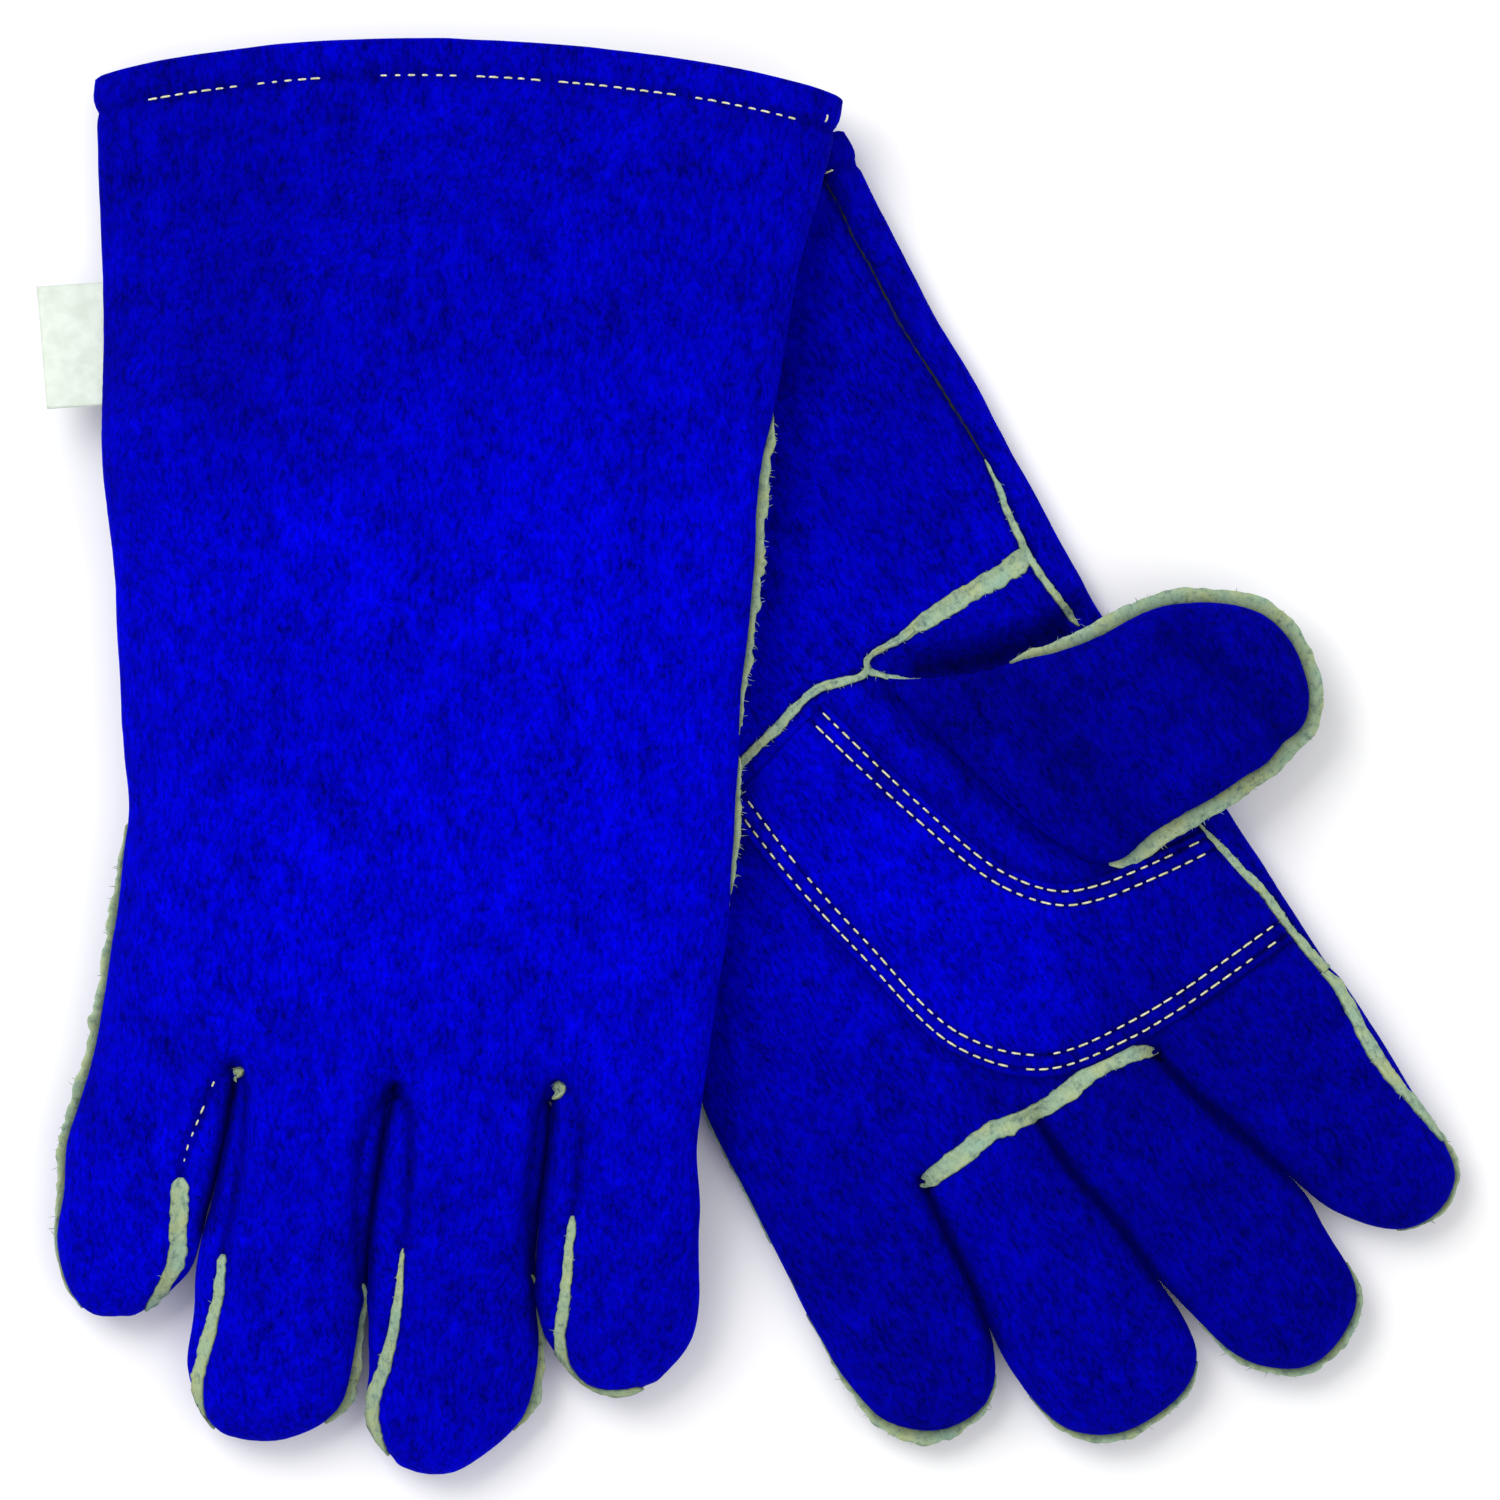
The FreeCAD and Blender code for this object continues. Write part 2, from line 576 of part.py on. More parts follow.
def label(glove):
    """A woven label that stands out of the little-finger side seam of the cuff."""
    t_low, t_high, out, gap, low, high = 169.0, 200.0, 15.5, 0.5, 0.8, 1.1
    mids = [(t, hand_mid(glove)(lerp(glove.little_edge, t), t)) for t in glove.stations]
    inside = [t for t in glove.stations if t_low < t < t_high]
    sheet = []
    for t in [t_low] + inside + [t_high]:
        s = lerp(glove.little_edge, t)
        mid = lerp(mids, t)
        corners = [glove.world(s + ds, t, mid + up) for ds, up in
                   ((-out, low), (-gap, low), (-gap, high), (-out, high))]
        sheet.append(Part.makePolygon(corners + corners[:1]))
    return loft(sheet)


# ---------------------------------------------------------------- fingers and thumbs

FINGER_HALF = [(0.0, KNUCKLE_HALF), (0.55, 8.6), (0.78, 8.0), (0.9, 6.8), (0.96, 5.4), (1.0, 3.4)]


def finger_rungs(glove, name):
    little_side, thumb_side = glove.fingers[name]
    tip = little_side[-1][0]
    rungs = []
    for (t, s_little), (_, s_thumb) in zip(little_side, thumb_side):
        ratio = lerp(FINGER_HALF, t / tip) / KNUCKLE_HALF

        def half(s, at, ratio=ratio):
            return glove.half(s, 0.0) * ratio

        t = min(t, -KNUCKLE_GAP)
        rungs.append(Rung((s_little, t), (s_thumb, t), half, finger_mid(glove)))
    return rungs


def thumb_rungs(glove):
    return [Rung(p, q, lambda s, t, h=h: h, thumb_mid(glove)) for p, q, h in glove.thumb]


def finger_parts(glove, name):
    rungs = finger_rungs(glove, name)
    prouds = [FINGER_WELT_PROUD] * (len(rungs) - 3) + [0.8, TIP_WELT_PROUD, TIP_WELT_PROUD]
    return {
        "front": half_shell(rungs, glove, 1),
        "back": half_shell(rungs, glove, -1),
        "lining": tube_lining(rungs, glove),
        "welt": edge_welt(rungs, glove, prouds),
    }


def thumb_parts(glove):
    """The thumb's outer face starts at its root fold; the face on the palm starts later,
    past the thumb hole, so that the hand opens into the thumb."""
    rungs = thumb_rungs(glove)
    away, against = ("front", "back") if glove is LEFT else ("back", "front")
    side = {"front": 1, "back": -1}
    prouds = [FINGER_WELT_PROUD] + [TIP_WELT_PROUD] * (len(rungs) - 1)
    lining = tube_lining(rungs, glove).cut(root_block(glove, rungs))
    return {
        away: half_shell(rungs, glove, side[away]),
        against: half_shell(rungs, glove, side[against]).cut(root_block(glove, rungs)),
        "lining": lining,
        "welt": edge_welt(rungs, glove, prouds),
    }


def root_block(glove, rungs):
    """The part of the thumb's root, on the palm's side of its seam, that is left open."""
    a, b = moved_rung(rungs[0], rungs[1], -4.0), rungs[1]
    z = thumb_mid(glove)(*rungs[0].p)
    far = [(p[0] + (p[0] - q[0]) * 0.2, p[1] + (p[1] - q[1]) * 0.2) for p, q in
           ((a.p, a.q), (a.q, a.p), (b.q, b.p), (b.p, b.q))]
    corners = [glove.world(s, t, z) for s, t in far]
    direction = -glove.palm if glove is LEFT else 1
    return Part.Face(Part.makePolygon(corners + corners[:1])).extrude(V(0, 0, 30 * direction))


# ---------------------------------------------------------------- the pair

def export(name, shape):
    solids = shape.Solids
    if not solids or any(not solid.isValid() for solid in solids):
        print("PROBLEM", name, "has", len(solids), "solids")
    body = solids[0] if len(solids) == 1 else Part.makeCompound(solids)
    body.exportStep("parts/%s.step" % name)
    box = body.BoundBox
    print("%-24s %2d solids %8.0f mm3  x %6.1f %6.1f  y %6.1f %6.1f  z %5.1f %5.1f"
          % (name, len(solids), body.Volume, box.XMin, box.XMax, box.YMin, box.YMax,
             box.ZMin, box.ZMax))


def build_glove(glove):
    export(glove.name + "_back_panel", back_panel(glove))
    export(glove.name + "_palm_panel", palm_panel(glove))
    export(glove.name + "_cuff_front_panel", cuff_front_panel(glove))
    export(glove.name + "_palm_patch", palm_patch(glove))
    export(glove.name + "_hand_lining", hand_lining(glove))
    export(glove.name + "_cuff_lining", cuff_lining(glove))
    export(glove.name + "_cuff_hem", cuff_hem(glove))
    export(glove.name + "_seam_welts", seam_welts(glove))
    export(glove.name + "_thread", threads(glove))
    for name in glove.fingers:
        for part, shape in finger_parts(glove, name).items():
            export("%s_%s_%s" % (glove.name, name, part), shape)
    for part, shape in thumb_parts(glove).items():
        export("%s_thumb_%s" % (glove.name, part), shape)


for pair_glove in (LEFT, RIGHT):
    build_glove(pair_glove)
export("right_side_label", label(RIGHT))
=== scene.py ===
import math

import bpy
import numpy as np
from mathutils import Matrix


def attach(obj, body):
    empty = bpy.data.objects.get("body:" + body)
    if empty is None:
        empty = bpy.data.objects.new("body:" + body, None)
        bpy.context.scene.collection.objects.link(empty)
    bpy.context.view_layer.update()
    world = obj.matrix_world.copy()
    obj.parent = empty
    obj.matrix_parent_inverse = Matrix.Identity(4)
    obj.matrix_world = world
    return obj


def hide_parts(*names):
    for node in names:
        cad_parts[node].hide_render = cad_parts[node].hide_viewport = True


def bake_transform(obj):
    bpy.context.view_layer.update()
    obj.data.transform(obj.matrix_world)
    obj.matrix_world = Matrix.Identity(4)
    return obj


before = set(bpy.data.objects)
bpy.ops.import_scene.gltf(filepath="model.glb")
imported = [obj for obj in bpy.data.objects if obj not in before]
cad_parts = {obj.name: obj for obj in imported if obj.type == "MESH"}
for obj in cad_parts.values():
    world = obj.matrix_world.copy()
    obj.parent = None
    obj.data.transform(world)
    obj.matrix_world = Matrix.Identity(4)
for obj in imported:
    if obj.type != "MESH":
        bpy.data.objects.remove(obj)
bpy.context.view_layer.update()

# A pair of split-leather welding gauntlets.  The left glove lies palm up on the table and
# the right glove lies palm down across its cuff.  Every skin is worked out in its own
# glove's frame, in millimetres: s runs across the hand towards the thumb side, t runs from
# the finger crotches towards the cuff, and z is the height above the table.

MM = 0.001

# -------- driving sizes

LEATHER = 1.4               # split leather
LINING_OUT = 1.65           # the lining's outer and inner faces, inside the leather's
LINING_IN = 2.85
HEM_DEEP = 8.4              # depth of the turned hem, and of its row of stitches
CELL = 1.6                  # size of the skins' mesh
SQUARENESS = 2.3            # exponent of the rounded sides: 2 is an ellipse
KNUCKLE_CUT = -2.0          # the hand and its fingers are separate skins on this line
BEND_FROM, BEND_TO = -3.0, -32.0    # lines given for a finger's bend; nothing bends it
PRESSED = 0.5               # a finger may reach this far past the middle of its gap
WRIST = 118.0
STITCH_LONG, STITCH_PITCH, THREAD_HALF = 2.5, 3.4, 0.26
PATCH_STITCH_HIGH = 0.95    # the patch's stitches lie this far above the palm
WELT_HALF = 0.62            # half the thickness of a welt strip
RAW_STEP = 0.8              # spacing of the sections along a strip of raw leather
FINGERS = ("little", "ring", "middle", "index")


# -------- small maths

def ramp(x):
    """0 below 0, 1 above 1, and an even S-curve between."""
    x = np.clip(x, 0.0, 1.0)
    return x * x * (3.0 - 2.0 * x)


def bell(x, width):
    """1 at 0, falling away evenly on both sides."""
    return np.exp(-(x / width) ** 2)


def look_up(rows, x):
    """Straight-line interpolation in rows of (x, value)."""
    return np.interp(x, *np.array(sorted(rows), float).T)


def unit(vectors):
    return vectors / np.maximum(np.linalg.norm(vectors, axis=-1, keepdims=True), 1e-9)


def noise(points, size, seed=0):
    """Smooth noise from -1 to 1, with features of a given size, the same on every run."""
    q = np.atleast_2d(np.asarray(points, float)) / size + 311.7 + 17.31 * seed
    cell = np.floor(q).astype(np.int64)
    part = ramp(q - cell)
    total = 0.0
    for corner in np.ndindex(*(2,) * q.shape[1]):
        key = np.full(len(q), 374761393 + 7919 * seed, np.int64)
        weight = 1.0
        for axis, step in enumerate(corner):
            key = key ^ ((cell[:, axis] + step) * (73856093, 19349663, 83492791)[axis])
            key = (key * 1274126177 + 12345) & 0x7FFFFFFF
            weight = weight * (part[:, axis] if step else 1.0 - part[:, axis])
        key = ((key ^ (key >> 13)) * 1103515245) & 0x7FFFFFFF
        total = total + weight * (((key >> 8) & 0xFFFF) / 32767.5 - 1.0)
    return total


def smooth_line(points, step=3.0, closed=False):
    """Points about step apart on a centripetal Catmull-Rom curve through the given ones."""
    points = np.asarray(points, float)
    if closed:
        ring = np.vstack([points[-1:], points, points[:2]])
    else:
        ring = np.vstack([2 * points[0] - points[1], points, 2 * points[-1] - points[-2]])
    out = []
    for p in zip(ring, ring[1:], ring[2:], ring[3:]):
        gaps = [np.linalg.norm(b - a) for a, b in zip(p, p[1:])]
        at = np.cumsum([0.0] + [math.sqrt(gap) + 1e-6 for gap in gaps])
        k = np.linspace(at[1], at[2], max(1, int(round(gaps[1] / step))), endpoint=False)[:, None]
        for spans in (((0, 1), (1, 2), (2, 3)), ((0, 2), (1, 3)), ((1, 2),)):
            p = [((at[b] - k) * p[i] + (k - at[a]) * p[i + 1]) / (at[b] - at[a])
                 for i, (a, b) in enumerate(spans)]
        out.append(p[0])
    return np.vstack(out if closed else out + [points[-1:]])


def run_length(line):
    """How far along a polyline each of its points is."""
    return np.concatenate([[0], np.cumsum(np.linalg.norm(np.diff(line, axis=0), axis=1))])


def line_distance(points, line):
    """Distance in plan from each point to a polyline."""
    best = np.full(len(points), 1e9)
    for a, b in zip(line[:-1], line[1:]):
        share = np.clip(((points - a) @ (b - a)) / max((b - a) @ (b - a), 1e-9), 0, 1)
        gap = points - a - share[:, None] * (b - a)
        best = np.minimum(best, gap[:, 0] ** 2 + gap[:, 1] ** 2)
    return np.sqrt(best)


def inside_line(points, line):
    """Whether each point lies inside a closed polyline."""
    odd = np.zeros(len(points), bool)
    s, t = points.T
    for a, b in zip(line, np.roll(line, -1, axis=0)):
        if a[1] != b[1]:
            crosses = (a[1] > t) != (b[1] > t)
            odd ^= crosses & (s < (b[0] - a[0]) * (t - a[1]) / (b[1] - a[1]) + a[0])
    return odd


# -------- the two gloves' patterns

class Glove:
    """One glove: where it lies, which way its palm faces, and its pattern outlines."""

    def __init__(self, name, place, turn, palm):
        self.name, self.place, self.palm = name, place, palm
        self.cos, self.sin = math.cos(math.radians(turn)), math.sin(math.radians(turn))

    def turned(self, vectors):
        s, t, z = np.asarray(vectors, float).T
        return np.stack([s * self.cos - t * self.sin, s * self.sin + t * self.cos, z], 1)

    def row(self, points):
        """Points in metres in the row frame."""
        return (self.turned(points) + np.array([*self.place, 0.0])) * MM

    def up(self, s, t):
        """Half the hand's thickness; the fingers carry on from their crotches."""
        return self.half(s, np.maximum(t, 0.0))

    def mid(self, s, t):
        return self.under(s, t) + self.up(s, t)


RIGHT = Glove("right", (-88.9, -83.4), 0.0, -1)
RIGHT.little_edge = [(0, -78.8), (12, -75.6), (25, -73), (37, -71), (50, -69), (68, -66),
                     (93, -67.5), (130, -69.4), (167, -71.7), (211, -73), (264, -75), (320, -76)]
RIGHT.thumb_edge = [(0, 76.8), (17, 79), (47, 83.3), (74, 84.8), (112, 87.8),
                    (154, 91.5), (171, 94.5), (203, 100.7), (223, 106), (250, 112), (320, 128)]
RIGHT.hem = [(-76, 250.4), (10, 259.6), (114, 243.2)]
RIGHT.seam_in = [(-2, 6), (20, 4), (45, 1), (156, 1), (172, 5), (264, 9)]
RIGHT.fingers = {
    "little": ([(0, -78.8), (-12, -82.1), (-25, -83.2), (-37, -85.1), (-45, -84),
                (-52, -81), (-57, -75.5)],
               [(0, -39.5), (-12, -41.7), (-25, -45.0), (-37, -48.6), (-45, -51.2),
                (-52, -55.5), (-57, -63)]),
    "ring": ([(0, -38.7), (-14, -41.3), (-25, -43.9), (-34, -46.2), (-50, -49.2),
              (-68, -52.2), (-78, -50.5), (-84, -46.3), (-88, -38.5)],
             [(0, -0.4), (-14, -2.6), (-31, -5.2), (-50, -7.0), (-60, -8.4),
              (-70, -9.6), (-78, -12), (-84, -17.5), (-88, -27)]),
    "middle": ([(0, 0.4), (-14, -1.8), (-31, -4.4), (-50, -6.2), (-68, -7.0),
                (-82, -8.2), (-90, -4), (-96, 5)],
               [(0, 39.2), (-14, 38.1), (-31, 35.8), (-50, 34.6), (-62, 36.4),
                (-72, 36.2), (-82, 33), (-90, 24.8), (-96, 15)]),
    "index": ([(0, 40.0), (-14, 38.9), (-31, 36.6), (-50, 35.5), (-62, 37.6),
               (-70, 42.0), (-77, 51.5)],
              [(0, 76.8), (-14, 75.2), (-31, 76.2), (-50, 76.6), (-62, 74.8),
               (-70, 69), (-77, 58.5)]),
}
RIGHT.crotches = [(-38.4, 3.8), (1.2, 0.4), (40.4, 0.6)]

LEFT = Glove("left", (75.0, -88.9), 29.0, 1)
LEFT.little_edge = [(0, -77.6), (20, -76.8), (33, -76.8), (44, -75.8), (62, -69), (93, -67),
                    (118, -68), (145, -68.5), (170, -74), (200, -86), (248, -101), (310, -118)]
LEFT.thumb_edge = [(0, 77.6), (13, 76.4), (28, 75), (43, 74), (105, 70.7), (144, 70.4),
                   (173, 70.1), (208, 70.6), (248, 73.4), (310, 79)]
LEFT.hem = [(-101, 236), (-13, 245), (75, 238)]
LEFT.seam_in = [(-2, 1.6), (12, 3), (25, 3.6), (37, 6.8), (60, 8.5), (103, 5.5),
                (115, 8.5), (127, 8.8), (148, 6.9), (225, 9), (248, 9)]
LEFT.fingers = {
    "little": ([(0, -77.6), (-12, -78.6), (-24, -78.8), (-35, -78.8), (-46, -76.4),
                (-53, -70.5), (-57.5, -62)],
               [(0, -37.5), (-12, -38.4), (-24, -38.9), (-35, -39.9), (-46, -42.6),
                (-53, -46.4), (-57.5, -52)]),
    "ring": ([(0, -36.7), (-14, -37.6), (-31, -38.7), (-48, -40.5), (-60, -40.3),
              (-70, -37.2), (-76, -30.5), (-79, -22)],
             [(0, -5.0), (-14, -3.9), (-31, -0.4), (-48, 1.8), (-60, 3.8),
              (-70, 3), (-76, -2.5), (-79, -12)]),
    "middle": ([(0, -4.2), (-14, -3.1), (-31, 0.4), (-48, 2.6), (-60, 4.8),
                (-72, 7.6), (-80, 12.4), (-86.5, 22)],
               [(0, 28.6), (-14, 32.4), (-31, 38.6), (-46, 43.8), (-60, 45.6),
                (-72, 46.5), (-80, 43), (-86.5, 32)]),
    "index": ([(0, 29.4), (-12, 32.7), (-24, 37.2), (-36, 41.5), (-48, 45.8),
               (-56, 48.4), (-63, 53), (-69, 62)],
              [(0, 77.6), (-12, 79.2), (-24, 79.8), (-36, 80.8), (-48, 81.6),
               (-56, 82), (-63, 80.4), (-69, 72)]),
}
LEFT.crotches = [(-37.0, 1.6), (-4.7, 1.0), (29.0, 1.4)]

# The palm patch: rungs across a band that runs round the root of the thumb.
PATCH = [((-35.4, 106), (-0.5, 117)), ((-31.5, 82), (9, 86)), ((-25, 56), (18.5, 61)),
         ((-15, 24), (28, 50)), ((2, 8.5), (37, 46.5)), ((30, 5), (48, 45)),
         ((73.2, 8.5), (66.3, 43.5))]
STITCH_INSETS = (2.5, 6.0)

# The right glove's underside is at full height to the thumb side of this line, (t, s),
# and comes down to the table over this width, (t, width).
FULL_HEIGHT_FROM = [(0, -5), (25, -28), (125, -28), (155, -52), (162, -50), (203, 20),
                    (238, 96), (264, 142)]
COME_DOWN_OVER = [(0, 80), (25, 58), (125, 55), (160, 70), (203, 100), (264, 112)]
UNDER_HIGH, UNDER_LOW = 16.4, 0.5
SAG_UNDER = 2.2             # the right glove's palm sags this far onto the left glove


def right_under(s, t):
    station = np.maximum(0.0, t)
    width = look_up(COME_DOWN_OVER, station)
    share = ramp((s - look_up(FULL_HEIGHT_FROM, station) + width) / width)
    share = share * (1.0 - ramp(-t / 85.0))
    return UNDER_LOW + (UNDER_HIGH - UNDER_LOW) * share


def left_half(s, t):
    """The left hand is fuller towards its fingers, where the right glove doesn't press it."""
    beside = s * LEFT.cos - t * LEFT.sin + 75.6
    return 6.25 + 2.55 * ramp((44.0 - t) / 44.0) * ramp((beside - 2.0) / 32.0)


RIGHT.under, RIGHT.half = right_under, lambda s, t: 8.0 + 0.8 * ramp(1.0 - t / 40.0)
LEFT.under, LEFT.half = lambda s, t: 0.0 * s, left_half


def hand_outline(glove):
    """The whole outline, down the little-finger side, round the fingers and up again."""
    points = [(s, t) for t, s in reversed(glove.little_edge) if t > 0]
    for name, crotch in zip(FINGERS, glove.crotches + [None]):
        little_side, thumb_side = glove.fingers[name]
        points += [(s, t) for t, s in little_side + thumb_side[::-1]]
        points += [crotch] if crotch else []
    points += [(s, t) for t, s in glove.thumb_edge if t > 0]
    return drawn_in(glove, smooth_line(points, closed=True))


def finger_outline(glove, name):
    """One finger's outline, run up past its base into the hand."""
    little_side, thumb_side = glove.fingers[name]
    rise = [[(30, side[0][1])] for side in (little_side, thumb_side)]
    if name == "little":
        rise[0] = [row for row in glove.little_edge if 0 < row[0] < 40]
    if name == "index":
        rise[1] = [row for row in glove.thumb_edge if 0 < row[0] < 40]
    rows = rise[0][::-1] + little_side + thumb_side[::-1] + rise[1]
    return drawn_in(glove, smooth_line([(s, t) for t, s in rows], closed=True))


def flow(outline):
    """Unit tangents along a closed outline."""
    return unit(np.roll(outline, -1, axis=0) - np.roll(outline, 1, axis=0))


def drawn_in(glove, outline):
    """Pulls the leather in where a welt stands out beyond it at the silhouette, and closes
    the gaps between the fingers down to half their length."""
    s, t = outline.T
    between = ramp((58.0 - np.abs(s)) / 12.0)
    amount = 1.2 * ramp((-t - 22.0 - 28.0 * between) / 22.0)
    amount -= (0.33 + 0.27 * ramp((-8.0 - t) / 6.0)) * between * ramp((56.0 + t) / 8.0) * (t < 3.0)
    if glove is RIGHT:
        amount = np.where(s < -62.0, np.maximum(amount, 1.3 * ramp((66.0 - t) / 20.0)), amount)
    along = flow(outline)
    return outline + amount[:, None] * np.stack([-along[:, 1], along[:, 0]], 1)


def hem_line(glove, s):
    """The hem's t over s: a shallow arch through three points."""
    (s0, t0), (s1, t1), (s2, t2) = glove.hem
    return (t0 * (s - s1) * (s - s2) / ((s0 - s1) * (s0 - s2))
            + t1 * (s - s0) * (s - s2) / ((s1 - s0) * (s1 - s2))
            + t2 * (s - s0) * (s - s1) / ((s2 - s0) * (s2 - s1)))


def inboard(glove, points):
    """How far points lie in from the hem."""
    return hem_line(glove, points[:, 0]) - points[:, 1]


# -------- skins

class Depth:
    """How deep a place lies inside an outline, kept on a fine grid."""

    STEP, MARGIN = 0.8, 9.0

    def __init__(self, outline):
        self.low = outline.min(axis=0) - self.MARGIN
        size = outline.max(axis=0) + self.MARGIN - self.low
        self.counts = np.ceil(size / self.STEP).astype(int) + 1
        self.high = self.low + self.STEP * self.counts
        s, t = [self.low[k] + self.STEP * np.arange(self.counts[k]) for k in (0, 1)]
        nodes = np.stack(np.meshgrid(s, t, indexing="ij"), -1).reshape(-1, 2)
        gap = line_distance(nodes, np.vstack([outline, outline[:1]]))
        gap[~inside_line(nodes, outline)] *= -1.0
        self.grid = gap.reshape(self.counts)

    def __call__(self, s, t):
        a, b = (s - self.low[0]) / self.STEP, (t - self.low[1]) / self.STEP
        i = np.clip(a.astype(int), 0, self.counts[0] - 2)
        j = np.clip(b.astype(int), 0, self.counts[1] - 2)
        a, b = np.clip(a - i, 0, 1), np.clip(b - j, 0, 1)
        g = self.grid
        return ((g[i, j] * (1 - a) + g[i + 1, j] * a) * (1 - b)
                + (g[i, j + 1] * (1 - a) + g[i + 1, j + 1] * a) * b)


class Skin:
    """The outer face of a stuffed outline, with its mid height, half heights above and
    below it, the reach of its rounded sides, and its relief."""

    def __init__(self, depth, mid, up, down, reach_up, reach_down, relief):
        self.depth, self.mid, self.up, self.down = depth, mid, up, down
        self.reach_up, self.reach_down, self.relief = reach_up, reach_down, relief

    def profile(self, s, t, above):
        """The half height there, and how far down its rounded side a place is."""
        reach = np.where(above, self.reach_up(s, t), self.reach_down(s, t))
        half = np.where(above, self.up(s, t), self.down(s, t))
        return half, 1.0 - np.minimum(self.depth(s, t) / reach, 1.0)

    def value(self, p):
        """Below 0 inside the skin and above 0 outside it."""
        s, t, z = p.T
        mid = self.mid(s, t)
        half, side = self.profile(s, t, z > mid)
        rise = np.abs(z - mid) / half
        return (side ** SQUARENESS + rise ** SQUARENESS) ** (1.0 / SQUARENESS) - 1.0

    def gradient(self, p):
        return np.stack([(self.value(p + move) - self.value(p - move)) / 0.6
                         for move in 0.3 * np.eye(3)], 1)

    def project(self, p, rounds=4):
        """The nearest points of the smooth skin, before its relief."""
        for _ in range(rounds):
            g = self.gradient(p)
            move = -self.value(p)[:, None] * g / np.maximum((g * g).sum(1), 1e-5)[:, None]
            size = np.linalg.norm(move, axis=1, keepdims=True)
            p = p + move * np.minimum(1.0, 2.0 / np.maximum(size, 1e-9))
        return p

    def relieved(self, p):
        n = unit(self.gradient(p))
        return p + n * self.relief(p, n)[:, None], n

    def snap(self, plan, level=1.0):
        """Points of the skin over places in plan.  level is 1 on the upper face, -1 on the
        lower one, and between them on the side.  Gives the points and their normals."""
        s, t = np.asarray(plan, float).T
        level = np.broadcast_to(np.asarray(level, float), s.shape)
        half, side = self.profile(s, t, level > 0)
        rise = np.maximum(1.0 - np.minimum(side, 1.0) ** SQUARENESS, 0.0) ** (1.0 / SQUARENESS)
        rise = rise * np.minimum(np.abs(level), 1.0)
        z = self.mid(s, t) + np.sign(level) * half * rise
        return self.relieved(self.project(np.stack([s, t, z], 1)))

    def mesh(self, low, high, keep=None):
        """A triangle mesh of the skin inside a box: points, normals and triangles."""
        def value(p):
            f = self.value(p)
            return f if keep is None else np.where(keep(p[:, 0], p[:, 1]), f, np.maximum(f, 0.25))
        points, quads = nets(value, np.asarray(low, float), np.asarray(high, float))
        a, b = np.unique(np.sort(edges_of(quads), axis=1), axis=0).T
        size = len(points)
        count = np.maximum(np.bincount(np.concatenate([a, b]), minlength=size), 1)[:, None]
        points = self.project(points, 3)
        for _ in range(3):
            total = np.stack([np.bincount(a, points[b, k], size) + np.bincount(b, points[a, k], size)
                              for k in range(3)], 1)
            points = self.project(0.4 * points + 0.6 * total / count, 2)
        points = self.relieved(points)[0]
        tris = triangles(points, quads)
        return points, vertex_normals(points, tris), tris


def nets(value, low, high):
    """The surface where value is 0, as one point in each mixed cell of a grid, and quads."""
    low = np.floor(low / CELL) * CELL
    counts = np.ceil((high - low) / CELL).astype(int) + 1
    lines = [low[k] + CELL * np.arange(counts[k]) for k in range(3)]
    grid = np.stack(np.meshgrid(*lines, indexing="ij"), -1).reshape(-1, 3)
    f = value(grid).reshape(counts)
    inside = f < 0
    cells = counts - 1

    def corner(array, offset):
        return array[tuple(slice(o, o + c) for o, c in zip(offset, cells))]

    number = sum(corner(inside, o).astype(int) for o in np.ndindex(2, 2, 2))
    mixed = (number > 0) & (number < 8)
    index = np.full(cells, -1, int)
    index[mixed] = np.arange(mixed.sum())
    total, hits = np.zeros((mixed.sum(), 3)), np.zeros(mixed.sum())
    for a in np.ndindex(2, 2, 2):
        for axis in np.flatnonzero(np.array(a) == 0):
            b = tuple(1 if k == axis else a[k] for k in range(3))
            fa, fb = corner(f, a)[mixed], corner(f, b)[mixed]
            cross = (fa < 0) != (fb < 0)
            point = np.tile(np.asarray(a, float), (cross.sum(), 1))
            point[:, axis] += fa[cross] / (fa[cross] - fb[cross])
            total[cross] += point
            hits[cross] += 1
    points = low + CELL * (np.argwhere(mixed) + total / hits[:, None])
    quads = []
    for axis in range(3):
        at = np.argwhere(np.diff(inside, axis=axis))
        at = at[((at > 0) & (at < cells) | (np.arange(3) == axis)).all(axis=1)]
        eu, ev = np.delete(np.eye(3, dtype=int), axis, 0)
        quad = np.stack([index[tuple((at - o).T)] for o in (0 * eu, eu, eu + ev, ev)], 1)
        flip = inside[tuple(at.T)] == (axis == 1)
        quad[flip] = quad[flip][:, ::-1]
        quads.append(quad)
    quads = np.vstack(quads)
    return points, quads[(quads >= 0).all(axis=1)]


def edges_of(faces):
    """The directed edges of an array of triangles or quads."""
    size = faces.shape[1]
    return np.vstack([faces[:, [i, (i + 1) % size]] for i in range(size)])


def triangles(points, quads):
    """Each quad as two triangles across its shorter diagonal."""
    across, other = [np.linalg.norm(points[quads[:, i]] - points[quads[:, i + 2]], axis=1)
                     for i in (0, 1)]
    a, b = quads[across < other], quads[across >= other]
    return np.vstack([a[:, [0, 1, 2]], a[:, [0, 2, 3]], b[:, [0, 1, 3]], b[:, [1, 2, 3]]])


def vertex_normals(points, tris):
    a, b, c = [points[tris[:, k]] for k in range(3)]
    face = np.cross(b - a, c - a)
    return unit(np.stack([sum(np.bincount(tris[:, corner], face[:, k], len(points))
                              for corner in range(3)) for k in range(3)], 1))


# -------- cutting and thickening

